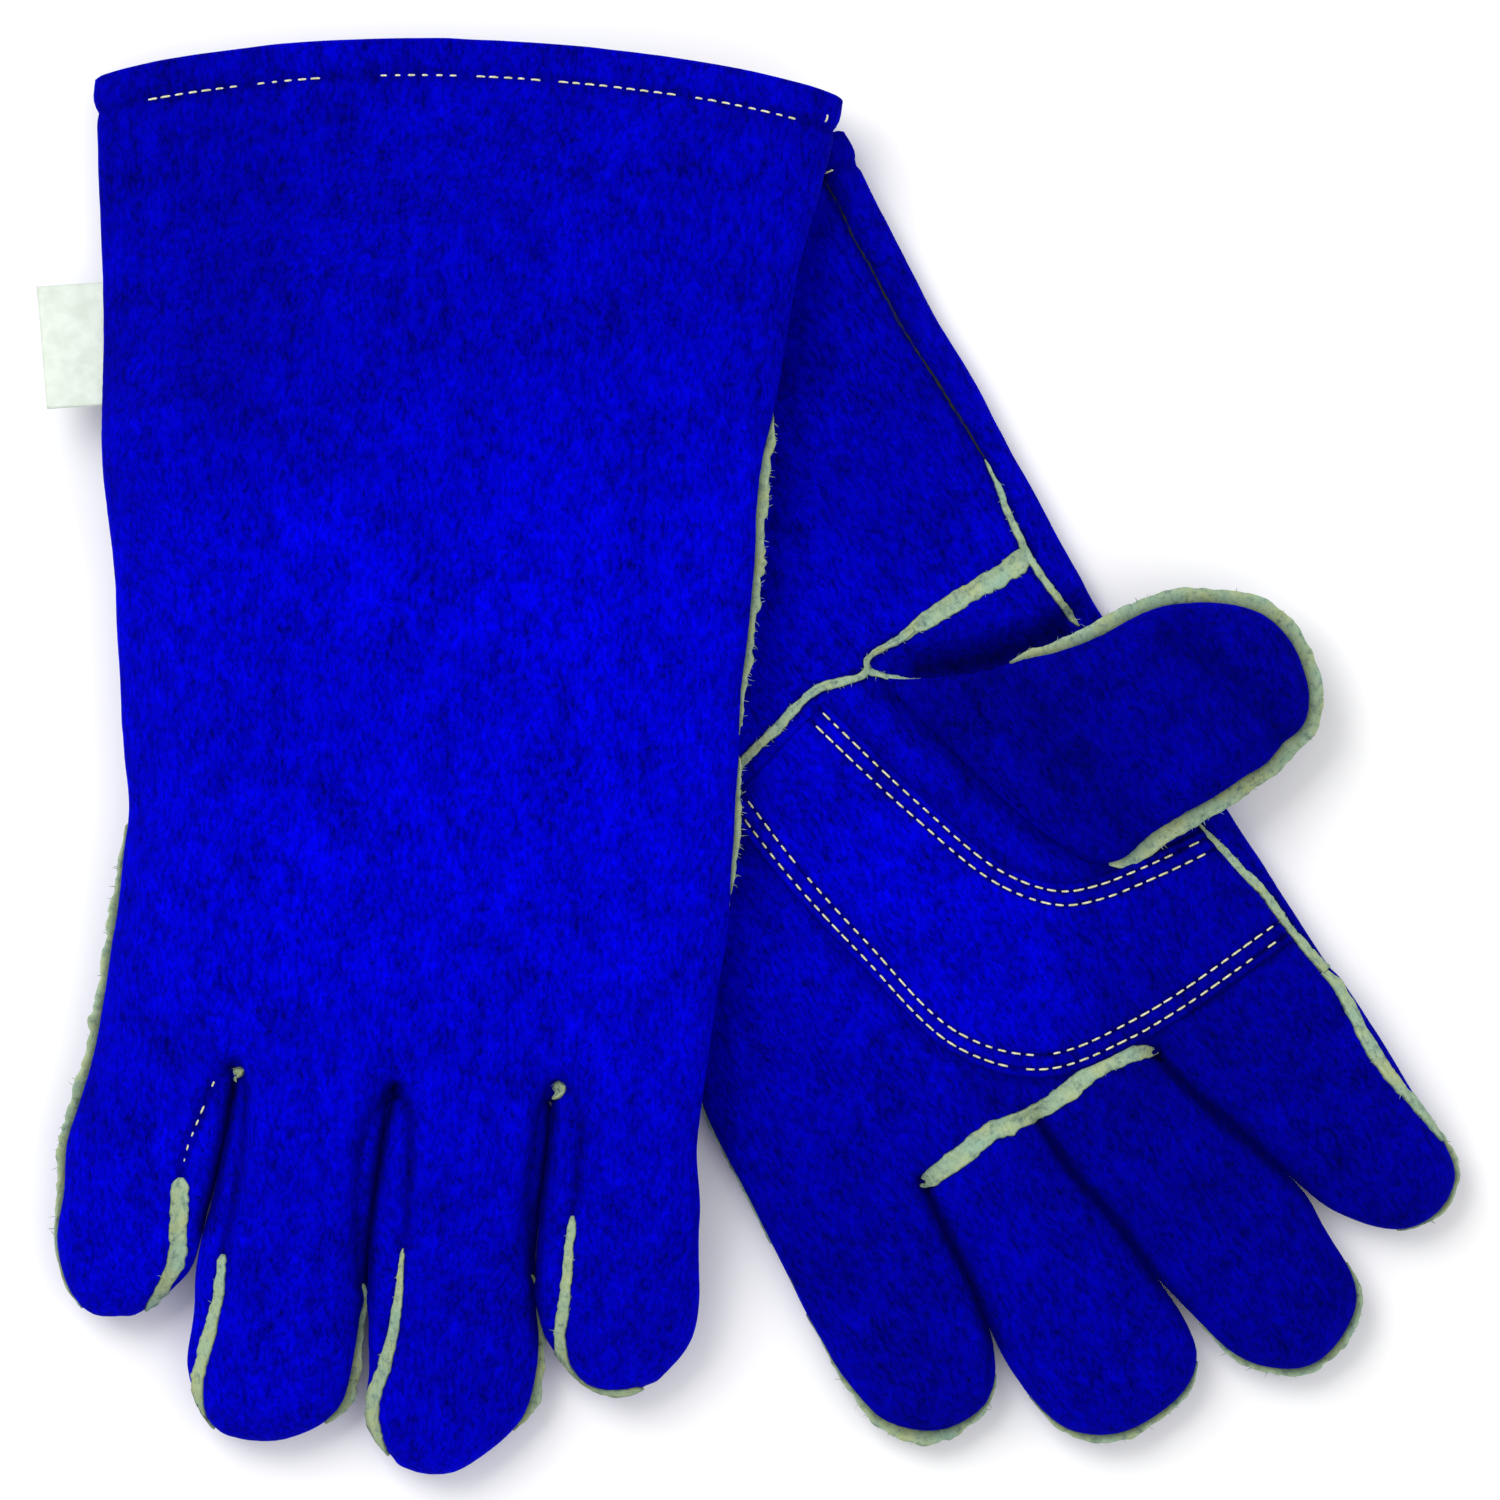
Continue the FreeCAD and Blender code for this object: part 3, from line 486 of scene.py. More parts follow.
def cut(skin, field):
    """Cuts a skin where field is 0.  Gives the part where it is positive, then the rest."""
    points, normals, tris = skin
    f = np.where(np.abs(field) < 1e-4, 1e-4, field)
    up = f > 0
    pairs = np.sort(edges_of(tris), axis=1)
    pairs = np.unique(pairs[up[pairs[:, 0]] != up[pairs[:, 1]]], axis=0)
    a, b = pairs.T
    keys = a * len(points) + b
    share = (f[a] / (f[a] - f[b]))[:, None]
    new = points[a] * (1 - share) + points[b] * share
    new_normals = unit(normals[a] * (1 - share) + normals[b] * share)

    def crossing(a, b):
        key = np.minimum(a, b) * len(points) + np.maximum(a, b)
        return len(points) + np.searchsorted(keys, key)

    number = up[tris].sum(axis=1)
    sides = {True: [tris[number == 3]], False: [tris[number == 0]]}
    for lone in (True, False):
        odd = tris[number == (1 if lone else 2)]
        where = np.argmax(up[odd] == lone, axis=1)
        a, b, c = [odd[np.arange(len(odd)), (where + k) % 3] for k in range(3)]
        ab, ac = crossing(a, b), crossing(a, c)
        sides[lone].append(np.stack([a, ab, ac], 1))
        sides[not lone] += [np.stack([ab, b, c], 1), np.stack([ab, c, ac], 1)]
    parts = []
    for side in (True, False):
        used, flat = np.unique(np.vstack(sides[side]), return_inverse=True)
        parts.append((np.vstack([points, new])[used], np.vstack([normals, new_normals])[used],
                      flat.reshape(-1, 3)))
    return parts


def rim_of(tris):
    """The directed edges that only one triangle has."""
    edges = edges_of(tris)
    size = tris.max() + 1
    return edges[~np.isin(edges @ [size, 1], edges @ [1, size])]


def shell(skin, outer, inner):
    """A closed sheet between two offsets inside a skin: points, faces, corner normals."""
    points, normals, tris = skin
    count = len(points)
    rim = rim_of(tris)
    edge = np.stack([rim[:, 1], rim[:, 0], rim[:, 0] + count, rim[:, 1] + count], 1)
    faces = [tuple(f) for part in (tris, tris[:, ::-1] + count, edge) for f in part]
    both = np.vstack([points - normals * outer, points - normals * inner])
    quad = both[edge]
    flat = unit(np.cross(quad[:, 2] - quad[:, 0], quad[:, 3] - quad[:, 1]))
    corner = [normals[tris.ravel()], -normals[tris[:, ::-1].ravel()], np.repeat(flat, 4, axis=0)]
    return both, faces, np.vstack(corner)


# -------- materials

SAGE, OCHRE, PIT = (0.22, 0.38, 0.27, 1), (0.36, 0.43, 0.17, 1), (0.07, 0.13, 0.10, 1)
EVEN = (1, 1, 1)            # noise that isn't stretched along a fibre


class Material:
    """A principled material whose colour and bumps come from noise and attributes."""

    def __init__(self, name, roughness, specular=0.5):
        self.data = bpy.data.materials.new(name)
        self.data.use_nodes = True
        self.bsdf = self.data.node_tree.nodes["Principled BSDF"]
        self.set(self.bsdf, {"Roughness": roughness, "Specular IOR Level": specular})

    def set(self, node, inputs):
        for key, value in inputs.items():
            if isinstance(value, bpy.types.NodeSocket):
                self.data.node_tree.links.new(value, node.inputs[key])
            else:
                node.inputs[key].default_value = value

    def add(self, kind, output, inputs, **settings):
        """Adds a node and gives its output."""
        node = self.data.node_tree.nodes.new(kind)
        for key, value in settings.items():
            setattr(node, key, value)
        self.set(node, inputs)
        return node.outputs[output]

    def attribute(self, name, output):
        return self.add("ShaderNodeAttribute", output, {}, attribute_name=name)

    def grain(self, stretch, scale, detail, rough, low, high):
        """Noise over the piece's own flat pattern, so that it stays put when the piece
        bends, with the band from low to high spread out to run from 0 to 1."""
        place = self.add("ShaderNodeMapping", "Vector",
                         {"Vector": self.attribute("pattern", "Vector"), "Scale": stretch})
        fac = self.add("ShaderNodeTexNoise", "Fac", {"Vector": place, "Scale": scale,
                                                     "Detail": detail, "Roughness": rough})
        return self.add("ShaderNodeMapRange", "Result",
                        {"Value": fac, "From Min": low, "From Max": high})

    def mixed(self, a, b, share, mode="MIX"):
        return self.add("ShaderNodeMix", 2, {0: share, 6: a, 7: b},
                        data_type="RGBA", blend_type=mode)

    def shaded(self, colour):
        """A colour times the piece's own shade."""
        return self.mixed(colour, self.attribute("shade", "Color"), 1.0, "MULTIPLY")

    def done(self, colour, layers):
        """Takes the colour, and bump layers of (height, strength, distance in metres)."""
        normal = {}
        for height, strength, distance in layers:
            inputs = {"Height": height, "Strength": strength, "Distance": distance}
            normal = {"Normal": self.add("ShaderNodeBump", "Normal", {**inputs, **normal})}
        self.set(self.bsdf, {"Base Color": colour, **normal})
        return self.data


def suede(name, dark, bright, sheen):
    """Split leather: a napped face with brushed patches, fine fibres and worn tips."""
    m = Material(name, 0.95, 0.02)
    clouds = m.grain(EVEN, 60.0, 3.0, 0.6, 0.3, 0.7)
    brushed = m.grain((1.0, 0.5, 1.0), 260.0, 4.0, 0.65, 0.34, 0.66)
    fibres = m.grain((1.0, 0.45, 1.0), 950.0, 3.0, 0.7, 0.34, 0.66)
    specks = m.grain((1, 0.6, 1), 900.0, 2.0, 0.6, 0.28, 0.42)
    colour = m.mixed(m.mixed(dark, bright, clouds), m.mixed(dark, bright, brushed), 0.62)
    colour = m.mixed(colour, m.mixed(dark, bright, fibres), 0.48)
    colour = m.shaded(m.mixed(m.mixed(dark, colour, 0.45), colour, specks))
    m.set(m.bsdf, {"Sheen Weight": 0.35, "Sheen Roughness": 0.5, "Sheen Tint": sheen})
    return m.done(colour, [(brushed, 0.55, 0.0005), (fibres, 0.6, 0.0003)])


def raw_leather(name):
    """The cut edge of undyed split leather, sage to yellow-green, with pits and fibres."""
    m = Material(name, 0.9, 0.15)
    colour = m.mixed(SAGE, OCHRE, m.grain(EVEN, 120.0, 3.0, 0.6, 0.35, 0.65))
    colour = m.mixed(PIT, colour, m.grain(EVEN, 480.0, 4.0, 0.7, 0.30, 0.50))
    fibres = m.grain((1, 0.5, 1), 1100.0, 4.0, 0.7, 0.3, 0.7)
    colour = m.mixed(colour, m.mixed(colour, (0.52, 0.62, 0.50, 1), 0.45), fibres)
    return m.done(m.shaded(colour), [(fibres, 0.7, 0.0004)])


def spun(name):
    """Spun thread, with its twist."""
    m = Material(name, 0.65)
    strands = m.grain(EVEN, 1500.0, 2.0, 0.6, 0.35, 0.65)
    colour = m.mixed((0.50, 0.50, 0.22, 1), (0.86, 0.84, 0.62, 1), strands)
    return m.done(colour, [(strands, 0.6, 0.0002)])


def woven(name, thread_scale, dark, bright, roughness):
    """Plain weave: two crossed sets of fine threads, with uneven yarn."""
    m = Material(name, roughness)
    wave = {"Vector": m.attribute("pattern", "Vector"), "Scale": thread_scale,
            "Distortion": 0.6, "Detail": 1.0, "Detail Scale": 2.0}
    sets = [m.add("ShaderNodeTexWave", "Fac", wave, wave_type="BANDS", bands_direction=way)
            for way in ("X", "Y")]
    weave = m.add("ShaderNodeMath", 0, {0: sets[0], 1: sets[1]}, operation="MULTIPLY")
    colour = m.mixed(dark, bright, m.mixed((0.3, 0.3, 0.3, 1), (1, 1, 1, 1), weave))
    colour = m.mixed(colour, bright, m.grain(EVEN, 200.0, 4.0, 0.6, 0.35, 0.65))
    return m.done(colour, [(weave, 0.5, 0.0002)])


# Each look is a material and the slot of the CAD's materials that it stands for.
BLUE = (suede("split_leather_blue", (0.0, 0.0, 0.05, 1), (0.0, 0.0, 0.78, 1),
              (0.0, 0.0, 1.0, 1)), "split_leather")
WELT = raw_leather("welt_raw_leather"), "welt_leather"
THREAD = spun("aramid_thread"), "sewing_thread"
COTTON = (woven("cotton_lining", 900.0, (0.42, 0.40, 0.34, 1), (0.80, 0.78, 0.70, 1), 0.9),
          "cotton_lining")
LABEL = (woven("label_satin", 1400.0, (0.52, 0.60, 0.50, 1), (0.74, 0.81, 0.72, 1), 0.45),
         "woven_label")


# -------- making pieces

def make_piece(glove, name, points, faces, look, nodes, shade=1.0, corner_normals=None,
               bend=None):
    """One visible piece.  It stands in for the glove's nodes of those names.  It rides on
    the hand, or, when bend is given as (part, start, end) in plan, it stays unattached with
    its place baked into its mesh; the part and the two ends are not used."""
    name = "%s_%s" % (glove.name, name)
    mesh = bpy.data.meshes.new(name)
    mesh.from_pydata(glove.row(points).tolist(), [], [list(map(int, f)) for f in faces])
    mesh.polygons.foreach_set("use_smooth", [True] * len(mesh.polygons))
    pattern = mesh.attributes.new("pattern", "FLOAT_VECTOR", "POINT")
    pattern.data.foreach_set("vector", (np.asarray(points) * MM).astype(np.float32).ravel())
    colour = np.ones((len(points), 4), np.float32)
    colour[:, :3] = np.broadcast_to(shade, len(points))[:, None]
    layer = mesh.attributes.new("shade", "FLOAT_COLOR", "POINT")
    layer.data.foreach_set("color", colour.ravel())
    mesh.materials.append(look[0])
    if corner_normals is not None:
        mesh.normals_split_custom_set(glove.turned(corner_normals).tolist())
    piece = bpy.data.objects.new(name, mesh)
    bpy.context.scene.collection.objects.link(piece)
    hand = glove.name + "_hand"
    if bend:
        part, *ends = bend
        start, end = [tuple(p) for p in glove.row([(s, t, 0.0) for s, t in ends])]
        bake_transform(piece)
    else:
        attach(piece, hand)
    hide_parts(*["%s_%s" % (glove.name, node) for node in nodes])
    return piece


def leather(glove, name, skin, tone_and_shade, nodes, bend=None):
    points, faces, corner = shell(skin, 0.0, LEATHER)
    make_piece(glove, name, points, faces, BLUE, nodes, tone_and_shade(points), corner, bend)


def join(parts):
    """Several (points, faces, shade) as one."""
    bases = np.cumsum([0] + [len(points) for points, _, _ in parts])
    faces = [tuple(i + base for i in face) for part, base in zip(parts, bases) for face in part[1]]
    return np.vstack([part[0] for part in parts]), faces, np.concatenate([part[2] for part in parts])


def made(glove, name, parts, look, nodes, bend=None):
    points, faces, shade = join(parts)
    make_piece(glove, name, points, faces, look, nodes, shade, bend=bend)


def tube(rails, shade, order=1, closed=False):
    """A tube whose section's corners run along the rails, one shade for each rail."""
    count, sides = len(rails[0]), len(rails)
    size = count * sides
    faces = []
    for a in range(0, size if closed else size - sides, sides):
        for k in range(sides):
            p, q = (a + k, a + (k + 1) % sides)[::order]
            faces.append((p, q, (q + sides) % size, (p + sides) % size))
    if not closed:
        faces += [tuple(range(sides))[::-order], tuple(range(size - sides, size))[::order]]
    return np.stack(rails, 1).reshape(-1, 3), faces, np.tile(shade, count)


def slab(top, under, rows, columns):
    """A closed sheet between two grids of points."""
    count = len(top)
    faces = []
    for a in (i * columns + j for i in range(rows - 1) for j in range(columns - 1)):
        quad = (a, a + columns, a + columns + 1, a + 1)
        faces += [quad, tuple(q + count for q in quad[::-1])]
    grid = np.arange(count).reshape(rows, columns)
    border = [*grid[:, 0], *grid[-1, 1:], *grid[-2::-1, -1], *grid[0, -2:0:-1]]
    faces += [(b, a, a + count, b + count) for a, b in zip(border, border[1:] + border[:1])]
    return np.vstack([top, under]), faces


# -------- seams, welts and stitches

class Crease:
    """A soft valley along a line in plan, on the upper face or on both."""

    def __init__(self, line, width, deep, shoulder=0.35, upper_only=True):
        self.line = smooth_line(line)
        self.width, self.deep, self.shoulder, self.upper_only = width, deep, shoulder, upper_only

    def height(self, points, normals):
        s = points[:, 0]
        near = np.abs(s - np.clip(s, self.line[:, 0].min(), self.line[:, 0].max())) < 4 * self.width
        out = np.zeros(len(points))
        x = line_distance(points[near, :2], self.line) / self.width
        out[near] = -self.deep * (np.exp(-x * x) - self.shoulder * np.exp(-(x - 2.0) ** 2))
        return out * ramp(0.5 + 1.2 * normals[:, 2]) if self.upper_only else out


def lumps(points, seed, size=1.0):
    """The uneven lie of stuffed leather."""
    return size * (0.50 * noise(points, 31.0, seed) + 0.24 * noise(points, 13.0, seed + 1)
                   + 0.10 * noise(points, 5.5, seed + 2))


def frames(points):
    """Unit tangents along a run of points."""
    ahead = np.vstack([points[1:], 2 * points[-1] - points[-2]])
    behind = np.vstack([2 * points[0] - points[1], points[:-1]])
    return unit(ahead - behind)


def route(line, *values):
    """A smooth route, the distance along it, and values that are given at its points."""
    plan, along = smooth_line(line, RAW_STEP), run_length(line)
    run = run_length(plan)
    share = run / run[-1]
    return plan, run, [np.interp(share, along / along[-1], np.broadcast_to(value, len(line)))
                       for value in values]


# A welt's section from its root in the seam to its ragged edge: (height, width, shade), where
# shade is painted: painted shade at the root down in the seam and a little painted light
# along the top.
WELT_SECTION = [(-1.0, -1.0, 0.25), (0.30, -1.0, 0.55), (0.72, -0.95, 0.85), (0.97, -0.5, 1.05),
                (1.0, 0.25, 1.05), (0.90, 0.85, 0.95), (0.55, 1.05, 0.75), (0.2, 1.0, 0.55),
                (-1.0, 1.0, 0.25)]
WELT_ROOT = -1.1


def welt(skin, line, out, lean=0.0, level=1.0, seed=0, ragged=0.22, fibres=0.5):
    """A strip of raw leather that stands out of a seam.  line is its route in plan, out
    how far it stands out at each point of the route, lean the angle that it leans over, to
    the left if positive, and level where it lies between the skin's lower and upper face."""
    plan, run, (stand, lean, level) = route(line, out, lean, level)
    points, normals = skin.snap(plan, level)
    tangent = frames(points)
    left = unit(np.cross(normals, tangent))
    walk = run[:, None]
    lean = np.radians(lean + 9.0 * noise(walk, 9.0, seed) + 5.0 * noise(walk, 3.0, seed + 1))
    rough = 1.0 + ragged * (noise(walk, 3.4, seed + 2) + 0.7 * noise(walk, 1.3, seed + 3))
    stand = np.where(stand > 0.25, stand * rough, stand - 0.9)
    rise = np.cos(lean)[:, None] * normals + np.sin(lean)[:, None] * left
    across = unit(np.cross(tangent, rise))
    rails = []
    for k, (high, wide, _) in enumerate(WELT_SECTION):
        h = WELT_ROOT if high < 0 else high * stand
        h = h + 0.20 * noise(walk + 70.0 * k, 1.9, seed + 6) * (high > 0)
        w = WELT_HALF * wide + 0.16 * noise(walk + 40.0 * k, 1.6, seed + 5)
        rails.append(points + rise * h[:, None] + across * w[:, None])
    # each rail takes its painted shade and light from the section
    parts = [tube(rails, [row[2] for row in WELT_SECTION])]
    chance = np.random.default_rng(900 + seed)
    for i in np.flatnonzero(chance.random(len(plan)) < fibres * RAW_STEP * 0.45):
        if stand[i] >= 0.5:
            root = points[i] + rise[i] * stand[i] * chance.uniform(0.6, 0.95)
            way = (rise[i] + 0.9 * tangent[i] * chance.uniform(-1, 1)
                   + 0.6 * across[i] * chance.uniform(-1, 1))
            parts.append(fibre(root, way, chance.uniform(0.8, 2.2), chance))
    return parts


# A flat strip's section: (across, height, shade), where shade is painted shade, dark along
# the edges and underside where the strip meets the leather.
BAND_SECTION = [(-0.94, -0.9, 0.2), (-1.0, -0.1, 0.35), (-0.96, 0.55, 0.6), (-0.8, 0.92, 0.95),
                (-0.4, 1.0, 1.0), (0.0, 1.0, 1.0), (0.4, 1.0, 1.0), (0.8, 0.92, 0.95),
                (0.96, 0.55, 0.6), (1.0, -0.1, 0.35), (0.94, -0.9, 0.2)]


def band(skin, line, wide, lift=0.5, seed=0, ragged=(0.12, 0.12), fibres=0.3,
         ends=(2.2, 2.2), tone_and_shade=1.0):
    """A strip of raw leather that lies flat against the leather beside its seam.  line is
    the route of its middle in plan, wide its width there, and ends how long each end
    takes to narrow."""
    plan, run, (wide, lift) = route(line, wide, lift)
    half = 0.5 * wide
    for from_end, length in ((run, ends[0]), (run[-1] - run, ends[1])):
        if length:
            half *= 0.3 + 0.7 * ramp(from_end / length + 0.15)
    tangent = frames(plan)
    left = np.stack([-tangent[:, 1], tangent[:, 0]], 1)
    walk = run[:, None]
    plan = plan + left * (0.35 * noise(walk, 8.0, seed + 7))[:, None]
    edges = []
    for k in (0, 1):
        rough = noise(walk, 3.0, seed + k) + 0.8 * noise(walk, 1.2, seed + 3 + k)
        edges.append(half * (1.0 + ragged[k] * rough) + 0.15 * noise(walk, 1.0, seed + 9 + k))
    rails = []
    for k, (across, high, _) in enumerate(BAND_SECTION):
        reach = edges[0 if across < 0 else 1] * across
        points, normals = skin.snap(plan + left * reach[:, None], 1.0)
        h = (high if high < 0 else high * lift) + 0.14 * noise(walk + 50.0 * k, 1.7, seed + 6)
        rails.append(points + normals * h[:, None])
    # the section's painted shade, times the strip's own factor, which can paint it darker still
    parts = [tube(rails, [tone_and_shade * row[2] for row in BAND_SECTION], -1)]
    chance = np.random.default_rng(950 + seed)
    for i in np.flatnonzero(chance.random(len(plan)) < fibres * RAW_STEP * 0.5):
        k = int(chance.choice([2, 8]))
        out = rails[k][i] - rails[5][i]
        out = out / max(np.linalg.norm(out), 1e-6)
        parts.append(fibre(rails[k][i] - 0.2 * out, out + 0.8 * chance.uniform(-1, 1, 3),
                           chance.uniform(0.6, 1.5), chance))
    return parts


def fibre(root, direction, length, chance):
    """One loose fibre: a thin bent spike of three sides."""
    direction = direction / np.linalg.norm(direction)
    side = np.cross(direction, [0.31, 0.17, 0.93])
    side = side / np.linalg.norm(side)
    up = np.cross(direction, side)
    bend = side * chance.uniform(-0.5, 0.5) + up * chance.uniform(-0.5, 0.5)
    radius = chance.uniform(0.09, 0.18)
    points = []
    for x, r in ((-0.3, 1.0), (0.35, 0.8), (0.75, 0.45)):
        centre = root + direction * length * x + bend * length * x * x
        points += [centre + radius * r * (side * math.cos(a) + up * math.sin(a))
                   for a in (0.0, 2.0943951, 4.1887902)]
    points.append(root + direction * length + bend * length)
    faces = [(2, 1, 0)]
    faces += [(a + k, a + (k + 1) % 3, a + 3 + (k + 1) % 3, a + 3 + k)
              for a in (0, 3) for k in range(3)]
    faces += [(6 + k, 6 + (k + 1) % 3, 9) for k in range(3)]
    return np.array(points), faces, np.full(10, 0.95)


# Along a stitch: (place, height, thickness); its ends dive into the leather.
STITCH_SHAPE = np.array([(-1.0, -0.62, 0.55), (-0.8, -0.22, 0.9), (-0.35, 0.0, 1.0),
                         (0.35, 0.0, 1.0), (0.8, -0.22, 0.9), (1.0, -0.62, 0.55)])


def stitches(surface, line, lift=0.22, start=0.0, seed=0, missing=0.03):
    """A row of thread stitches.  surface gives points and normals over places in plan."""
    plan = smooth_line(line, 0.4)
    run = run_length(plan)
    chance = np.random.default_rng(70 + seed)
    middles = np.arange(STITCH_PITCH * 0.5 + start, run[-1] - STITCH_LONG * 0.5, STITCH_PITCH)
    middles = middles + chance.uniform(-0.12, 0.12, len(middles))
    parts = []
    for middle in middles:
        if chance.random() < missing:
            continue
        where = middle + STITCH_LONG * chance.uniform(0.38, 0.60) * STITCH_SHAPE[:, 0]
        points, normals = surface(np.stack([np.interp(where, run, row) for row in plan.T], 1))
        side = unit(np.cross(normals, frames(points)))
        thick = THREAD_HALF * STITCH_SHAPE[:, 2]
        rails = []
        for a in np.arange(6) * math.pi / 3:
            high = lift + STITCH_SHAPE[:, 1] + thick * 0.8 * math.sin(a)
            rails.append(points + normals * high[:, None] + side * (thick * math.cos(a))[:, None])
        parts.append(tube(rails, [1.0] * 6))
    return parts


# -------- seams of each glove

# Routes in plan, (s, t): the seams of the left palm and of the right back, and the middles
# of the gaps between the fingers.
LEFT_SEAMS = {
    "cuff_side": [(62.3, 234), (61.6, 205), (62.0, 175), (63.6, 150), (62.7, 139), (61.7, 127),
                  (62.3, 115), (65.2, 102.5)],
    "wrist": [(62.4, 124.4), (55.4, 123.4), (48, 123.0), (41, 122.7), (34, 122.2), (27.6, 121.6),
              (22, 121.3), (17, 121.0), (13.6, 120.4), (12.0, 118.4), (6, 118.9), (0, 119.8),
              (-6.5, 119.0), (-13, 117.2), (-20, 115.4), (-26.6, 113.2), (-40, 109.6), (-58, 106)],
    "finger_base": [(-37.4, -0.6), (-35.7, 0.3), (-27, 1.9), (-17.9, 3.2), (-10, 2.8), (-3, 2.3),
                    (6, 3.6), (15.4, 4.8), (21, 4.4), (25.7, 2.9), (29.2, 0.2)],
    "index_side": [(65.8, 46), (66.6, 41), (67.7, 36.7), (69.5, 30), (71.8, 24.6), (73.5, 12.3),
                   (75.8, 1.1), (76.4, -1.8)],
}
RIGHT_BACK_SEAMS = {
    "little": [(-39.4, 6.2), (-43.0, 3.4), (-47.2, -6), (-50.4, -14), (-52.0, -21.3),
               (-52.4, -32.2), (-53.8, -42.2), (-57.0, -49.6), (-61.4, -55.4)],
    "ring": [(-38.4, 6.6), (-36.2, 3.0), (-36.2, -7.4), (-38.2, -24), (-41.7, -40.2),
             (-43.2, -49.6), (-46.9, -64.5), (-49.0, -74.4), (-48.4, -81.0), (-46.0, -86.0)],
    "ring_thumb_side": [(0.8, 1.2), (-3.2, -3.0), (-7.0, -12), (-8.6, -30), (-8.4, -48)],
    "middle": [(1.4, 1.2), (4.2, -2.4), (5.0, -9.9), (4.6, -25), (3.2, -38.4), (1.4, -52.1),
               (-2.2, -67), (-5.4, -79.4), (-4.6, -86), (-2.0, -91.6)],
    "middle_thumb_side": [(40.0, 1.2), (37.0, -3.4), (35.4, -12), (33.8, -28), (34.2, -46)],
    "index": [(41.2, 2.0), (45.2, -0.4), (46.8, -6), (46.0, -20), (44.4, -30.3), (42.9, -49.6),
              (41.4, -62), (42.2, -69.0), (46.4, -74.6), (53.6, -76.4), (62.5, -74.6)],
}
GAPS = {
    "right": [[(-38.6, 5.4), (-39.1, 0), (-41.5, -13), (-44.4, -25), (-47, -34)],
              [(1.2, 1.0), (0.2, -2), (-2.2, -14), (-4.8, -31), (-6.6, -50), (-7.6, -60)],
              [(40.4, 1.4), (39.9, -2), (38.5, -14), (36.2, -31), (35.0, -50), (36.8, -64)]],
    "left": [[(-37, 1.6), (-37.1, 0), (-38, -13), (-38.8, -28), (-41, -44)],
             [(-4.7, 1.2), (-4.6, 0), (-3.5, -14), (0, -31), (2.2, -48), (4.2, -60)],
             [(29.0, 1.4), (29, 0), (32.6, -13), (38, -28), (43.6, -44), (46.6, -54)]],
}


CREASES = {
    "left": [Crease(line, 2.0, 1.1) for line in LEFT_SEAMS.values()] + [
        Crease([(17, 117.0), (27, 112.6), (40, 107.6), (54, 105), (68, 104)], 4.6, 4.4, 0.0),
        Crease([(12, 113), (20, 93), (25.5, 76), (33, 58), (40, 46)], 4.5, 2.0, 0.2),
        Crease([(-8, 112), (-2, 80), (8, 50), (10, 22)], 9.0, 0.7),
        Crease([(30, 36), (26, 20), (14, 10)], 7.0, 0.7),
        Crease([(-50, 20), (-30, 12), (-10, 14), (20, 9)], 8.0, 0.6),
        Crease([(55, 35), (45, 18), (35, 5)], 8.0, 0.7),
        Crease([(60, 150), (40, 160), (15, 158)], 8.0, 0.8),
        Crease([(64, 190), (45, 200), (20, 205)], 10.0, 0.7)],
    "right": [Crease(line, 1.9, 1.1) for line in RIGHT_BACK_SEAMS.values()] + [
        Crease([(-38, 7), (-35, 18), (-31, 34)], 6.0, 0.5),
        Crease([(0, 5), (3, 20), (4, 36)], 6.0, 0.5),
        Crease([(39, 6), (37, 20), (34, 38)], 6.0, 0.5),
        Crease([(-62, 70), (-40, 76), (-15, 74)], 8.0, 0.8),
        Crease([(80, 96), (55, 88), (30, 92)], 9.0, 0.9),
        Crease([(-60, 130), (-30, 122), (10, 128)], 12.0, 0.7),
        Crease([(85, 150), (50, 140), (20, 150)], 12.0, 0.8),
        Crease([(-40, 240), (-34, 200), (-38, 160)], 12.0, 0.7),
        Crease([(55, 235), (48, 200), (52, 165)], 12.0, 0.7)]}


def hand_skin(glove, seed):
    def down(s, t):
        """The right glove's palm sags onto the left glove."""
        sag = SAG_UNDER if glove is RIGHT else 0.0
        return glove.up(s, t) + sag * ramp((glove.under(s, t) - 4.0) / 10.0)

    def relief(points, normals):
        """Creases and lumps, with a hem that puffs a little between its edge and its row."""
        high = sum(crease.height(points, normals) for crease in CREASES[glove.name])
        high = high + lumps(points, seed) + (0.55 * bell(inboard(glove, points) - 4.2, 3.4)
                                             - 0.75 * bell(inboard(glove, points) - HEM_DEEP, 1.5))
        on_table = (normals[:, 2] < -0.5) & (points[:, 2] < 3.0)
        return np.where(on_table, np.minimum(high, 0.0) * 0.3, high)

    return Skin(Depth(hand_outline(glove)), glove.mid, glove.up, down,
                lambda s, t: 17.5 + 8.5 * ramp((t - 2.0) / 45.0),
                lambda s, t: np.where(glove.under(s, t) > 8.0, 15.0, 10.0), relief)


def finger_keep(glove, name):
    """A test for being in one finger rather than its neighbours."""
    i = FINGERS.index(name)

    def middle(j, t):
        """The middle of the gap between finger j and the next."""
        t = np.clip(t, -100.0, 0.0)
        return 0.5 * (look_up(glove.fingers[FINGERS[j]][1], t)
                      + look_up(glove.fingers[FINGERS[j + 1]][0], t))

    def keep(s, t):
        ok = np.ones(s.shape, bool)
        pressed = PRESSED * ramp((-9.0 - t) / 4.0)
        if i > 0:
            ok &= s > middle(i - 1, t) - pressed
        if i < 3:
            ok &= s < middle(i, t) + pressed
        return ok
    return keep


# -------- colour and painted shade of the leather

def dark_line(points, line, share, width):
    return 1.0 - share * bell(line_distance(points[:, :2], line), width)


